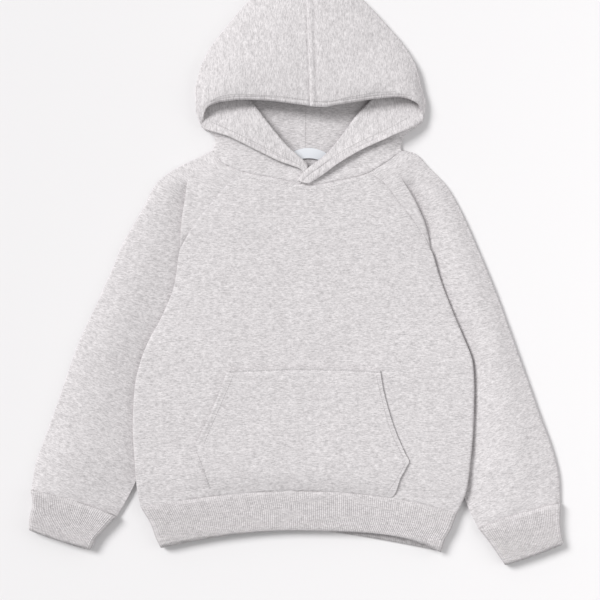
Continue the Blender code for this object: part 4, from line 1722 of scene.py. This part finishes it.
@dataclass
class Pocket:
    """The front pocket, made from the front's own surface and moved out."""

    lift_off: float = 1.6
    sunk: float = -0.6
    top_bow: float = 3.0
    base_bow: float = 4.0
    columns: int = 110
    spread: float = 0.13
    top_groove: Groove = Groove(0.8, 1.0, 3.0)
    base_groove: Groove = Groove(0.3, 1.6)
    opening_ridge: Groove = Groove(-0.45, 2.0, 2.2)
    cut_m: tuple[float, float] = (0.23, 0.14)
    cut_area: float = 0.025

    def build(self, front: bpy.types.Object, material: bpy.types.Material) -> bpy.types.Object:
        """Make the pocket.

        Args:
            front: the finished front, which it lies on.
            material: the cloth's finish.

        Returns:
            The finished piece.
        """
        probe = top_of([front])
        knots = np.linspace(0.0, 1.0, len(POCKET_LEFT))
        upper = np.linspace(0.0, 0.07, 14)
        middle = np.linspace(0.07, 0.96, 64)[1:]
        lower = np.linspace(0.96, 1.0, 9)[1:]
        at = np.concatenate([upper, middle, lower])
        even = np.linspace(0.0, 1.0, self.columns)
        across = even - self.spread * np.sin(2.0 * pi * even)
        left = through(knots, np.array(POCKET_LEFT, float), at)
        right = through(knots, np.array(POCKET_RIGHT, float), at)
        points = np.zeros((len(at), self.columns, 3))
        for i, share in enumerate(at):
            bow = self.top_bow * (1.0 - share) ** 3 + self.base_bow * share**3
            off = self.lift_off + (self.sunk - self.lift_off) * smooth_step(share, 0.9, 1.0)
            for k, t in enumerate(across):
                x, y = mix(left[i], right[i], t)
                y += bow * 4.0 * t * (1.0 - t)
                y += (waist_seam(x) + 0.8 - y) * smooth_step(share, 0.86, 1.0)
                place, _ = probe(x, y)
                points[i, k] = (x, y, place.z / MM + off)
        roll_seam(points, "last_row", 1.0, self.base_groove)
        groove(points, edge_distance(points, "first_row"), 1.0, self.top_groove)
        from_left = edge_distance(points, "first_column")
        opening = 1.0 - smooth_step(at, 0.56, 0.66)[:, None]
        groove(points, from_left, opening, self.opening_ridge)
        obj = cloth_grid("pocket_cloth", points, plan_uv(points), POCKET_WALL)
        finish_piece(obj, "pocket", material)
        return obj


@dataclass
class NeckLabel:
    """A plain woven tape, arched across the back of the neck."""

    ends: tuple[float, float] = (-8.0, 35.0)
    height: float = 11.0
    middle_y: float = 116.0
    arch: float = 7.0
    bed_z: float = 3.3
    rows: int = 6
    columns: int = 24

    def build(self, material: bpy.types.Material) -> bpy.types.Object:
        """Make the label.

        Args:
            material: the cloth's finish.

        Returns:
            The finished piece.
        """
        points = np.zeros((self.rows, self.columns, 3))
        for i, down in enumerate(np.linspace(0.5, -0.5, self.rows)):
            for k, t in enumerate(np.linspace(0.0, 1.0, self.columns)):
                x = self.ends[0] + (self.ends[1] - self.ends[0]) * t
                y = self.middle_y + down * self.height + self.arch * (4.0 * t * (1.0 - t) - 0.5)
                points[i, k] = (x, y, self.bed_z + LABEL_WALL * np.sin(pi * t))
        obj = cloth_grid("neck_label_cloth", points, plan_uv(points), LABEL_WALL)
        finish_piece(obj, "neck_label", material)
        return obj


# --------------------------------------------------------------- stitches
@dataclass(frozen=True)
class StitchLine:
    """A row of small stitches: one thread that rises out of the cloth and dips back in."""

    name: str
    path: tuple[Plan, ...]
    pitch: float = 2.7
    thread: float = 0.3
    rings: int = 6
    sides: int = 6

    def build(self, probe: Callable, material: bpy.types.Material) -> bpy.types.Object:
        """Lay the thread over the cloth.

        Args:
            probe: gives the place of the topmost cloth over a plan point.
            material: the thread's finish.

        Returns:
            The finished row of stitches.
        """
        knots = np.array(self.path, float)
        along = np.concatenate([[0.0], np.cumsum(np.hypot(*np.diff(knots, axis=0).T))])
        count = round(along[-1] / self.pitch) * self.rings + 1
        plan = through(along, knots, np.linspace(0.0, along[-1], count))
        # wound this way round, the thread's faces point outwards
        turns = np.linspace(2.0 * pi, 0.0, self.sides + 1)
        points = np.zeros((count, self.sides + 1, 3))
        for i, (x, y) in enumerate(plan):
            ahead = plan[min(i + 1, count - 1)] - plan[max(i - 1, 0)]
            side = np.array((-ahead[1], ahead[0])) / np.hypot(*ahead)
            size = 0.0 if i in (0, count - 1) else self.thread
            rise = self.thread * (1.5 * np.sin(pi * (i % self.rings) / self.rings) - 1.0)
            points[i, :, :2] = (x, y) + np.outer(np.cos(turns) * size, side)
            points[i, :, 2] = probe(x, y)[0].z / MM + rise + np.sin(turns) * size * 0.7
        obj = cloth_grid(self.name, points, plan_uv(points), 0.0)
        obj.data.materials.clear()
        obj.data.materials.append(material)
        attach(obj, "root")
        return obj


POCKET_STITCHES = (
    StitchLine(
        "pocket_top_stitches",
        ((-70, -113.8), (-30, -111.5), (8, -110.8), (48, -111.5), (87, -113.8)),
    ),
    StitchLine("pocket_left_stitches", ((-66, -117), (-81, -152), (-90, -172), (-97, -189))),
    StitchLine("pocket_right_stitches", ((85, -117), (93, -150), (100, -175), (114, -204))),
    StitchLine("pocket_left_edge_stitches", ((-103, -201), (-98.2, -214), (-90.5, -237)), thread=0.5),
    StitchLine("pocket_right_edge_stitches", ((116, -209), (106.5, -226), (96, -242))),
    StitchLine(
        "neck_stitches",
        ((-50, 92.3), (-19, 86), (4, 81), (14, 79.5), (26, 80.5), (39, 83), (68, 89.6)),
    ),
)
HOOD_STITCHES = (
    StitchLine(
        "brow_left_stitches",
        ((-90, 172), (-80, 177), (-62, 179.5), (-40, 178.5), (-13, 176.5), (11, 173.2)),
    ),
    StitchLine(
        "brow_right_stitches",
        ((18, 171.8), (33, 171.4), (52, 175.3), (70, 178.6), (88, 181.4), (105, 182.3)),
    ),
    StitchLine("right_lapel_stitches", ((22, 101), (38.5, 113.3), (65.7, 129.3), (95.7, 143.3), (122, 158))),
    StitchLine("hood_back_stitches", ((10.6, 164), (10.6, 146), (10.6, 127))),
    StitchLine(
        "left_lapel_stitches",
        ((6, 104.5), (-15.3, 115.4), (-39.3, 127.4), (-67.3, 141.4), (-90, 151.8)),
    ),
)


# --------------------------------------------------------------- stage
@dataclass(frozen=True)
class Stage:
    """The pale floor, the soft light and the camera straight above."""

    camera_height: float = 1.514
    camera_at: Plan = (0.0045, -0.0371)
    key: float = 2.68
    fill: float = 5.6
    sky: float = 0.46

    def floor(self) -> None:
        """A plain pale floor."""
        deselect()
        bpy.ops.mesh.primitive_plane_add(size=8.0, location=(0.0, 0.0, -0.0003))
        plane = bpy.context.active_object
        plane.name = "floor"
        material = bpy.data.materials.new("pale_floor")
        material.use_nodes = True
        shader = material.node_tree.nodes["Principled BSDF"]
        shader.inputs["Base Color"].default_value = (0.806, 0.794, 0.801, 1.0)
        shader.inputs["Roughness"].default_value = 0.9
        plane.data.materials.append(material)

    def light(self) -> None:
        """A soft key from the upper left, a weak broad fill at the right and an even sky."""
        key = bpy.data.lights.new("key", "SUN")
        key.angle = radians(24.0)
        key.energy = self.key
        fill = bpy.data.lights.new("fill", "AREA")
        fill.shape = "DISK"
        fill.size = 1.4
        fill.energy = self.fill
        for data, place in ((key, Vector((-1.35, 0.95, 1.55))), (fill, Vector((1.25, -0.05, 0.95)))):
            lamp = bpy.data.objects.new(data.name, data)
            lamp.location = place
            lamp.rotation_euler = (-place).to_track_quat("-Z", "Y").to_euler()
            bpy.context.scene.collection.objects.link(lamp)
        world = bpy.data.worlds.new("sky")
        world.use_nodes = True
        world.node_tree.nodes["Background"].inputs[0].default_value = (1.0, 1.0, 1.0, 1.0)
        world.node_tree.nodes["Background"].inputs[1].default_value = self.sky
        bpy.context.scene.world = world

    def camera(self) -> None:
        """A camera looking straight down."""
        data = bpy.data.cameras.new("camera")
        data.lens = 85.0
        data.sensor_width = 36.0
        camera = bpy.data.objects.new("camera", data)
        camera.location = (*self.camera_at, self.camera_height)
        bpy.context.scene.collection.objects.link(camera)
        bpy.context.scene.camera = camera

    def build(self) -> None:
        """Set the stage."""
        bpy.context.scene.view_settings.view_transform = "Standard"
        self.floor()
        self.light()
        self.camera()


def main() -> None:
    """Make and dress every piece of the hoodie."""
    logging.basicConfig(level=logging.INFO, format="%(message)s")
    groups = {"heather": heather_group(), "rib": rib_shade_group()}
    pale, dark = (0.80, 0.769, 0.778), (0.40, 0.382, 0.388)
    body_knit = KnitFinish("heather_jersey", pale, dark).material(groups)
    hood_knit = KnitFinish("heather_jersey_hood", pale, dark, turned=True).material(groups)
    rib_pale, rib_dark = (0.775, 0.742, 0.751), (0.42, 0.40, 0.406)
    rib_knit = KnitFinish("heather_rib", rib_pale, rib_dark, rib_pitch=RIB_PITCH).material(groups)
    tape = PlainFinish("label_tape", (0.78, 0.8, 0.84), 0.6, 0.0006).material()
    thread = PlainFinish("thread", (0.47, 0.45, 0.455), 0.8, 0.0004).material()

    front = BodyFront(FRONT_CREASES)
    front_obj = front.build(front.surface(), body_knit)
    BodyBack().build(body_knit)
    Sleeve(
        "sleeve_left", LEFT_SLEEVE, inward=1.0, creases=LEFT_SLEEVE_CREASES,
        rise_power=0.9, sag=-7.0, seam_depth=0.1, lean=1.5, flatter=4.5, ripple_seed=12.0,
    ).build(body_knit)
    Sleeve(
        "sleeve_right", RIGHT_SLEEVE, inward=-1.0, creases=RIGHT_SLEEVE_CREASES,
        rise_power=0.95, sag=-2.5, seam_depth=0.3, lean=1.0, flatter=0.0, ripple_seed=2.0,
    ).build(body_knit)
    hood = []
    for half in (
        HoodHalf(
            "hood_left", LEFT_HOOD, seam_side=-1.0, creases=LEFT_HOOD_CREASES,
            lapel_lines=(6.0, 19.0), ridge=0.0, strip_bow=0.0, ripple_seed=10.0,
        ),
        HoodHalf(
            "hood_right", RIGHT_HOOD, seam_side=1.0, creases=RIGHT_HOOD_CREASES,
            lapel_lines=(8.5,), ridge=0.9, strip_bow=1.6, ripple_seed=12.0,
        ),
    ):
        hood.append(half.build(half.surface(), hood_knit))
    RibBand("waistband", WAISTBAND, cut_m=(0.69, 0.04), on_waist=True).build(rib_knit)
    RibBand("cuff_left", LEFT_CUFF, cut_m=(0.18, 0.042)).build(rib_knit)
    RibBand("cuff_right", RIGHT_CUFF, cut_m=(0.18, 0.042)).build(rib_knit)
    pocket = Pocket().build(front_obj, body_knit)
    NeckLabel().build(tape)
    for lines, under in ((POCKET_STITCHES, top_of([front_obj, pocket])), (HOOD_STITCHES, top_of(hood))):
        for line in lines:
            line.build(under, thread)
    Stage().build()

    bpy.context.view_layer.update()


if __name__ == "__main__":
    main()
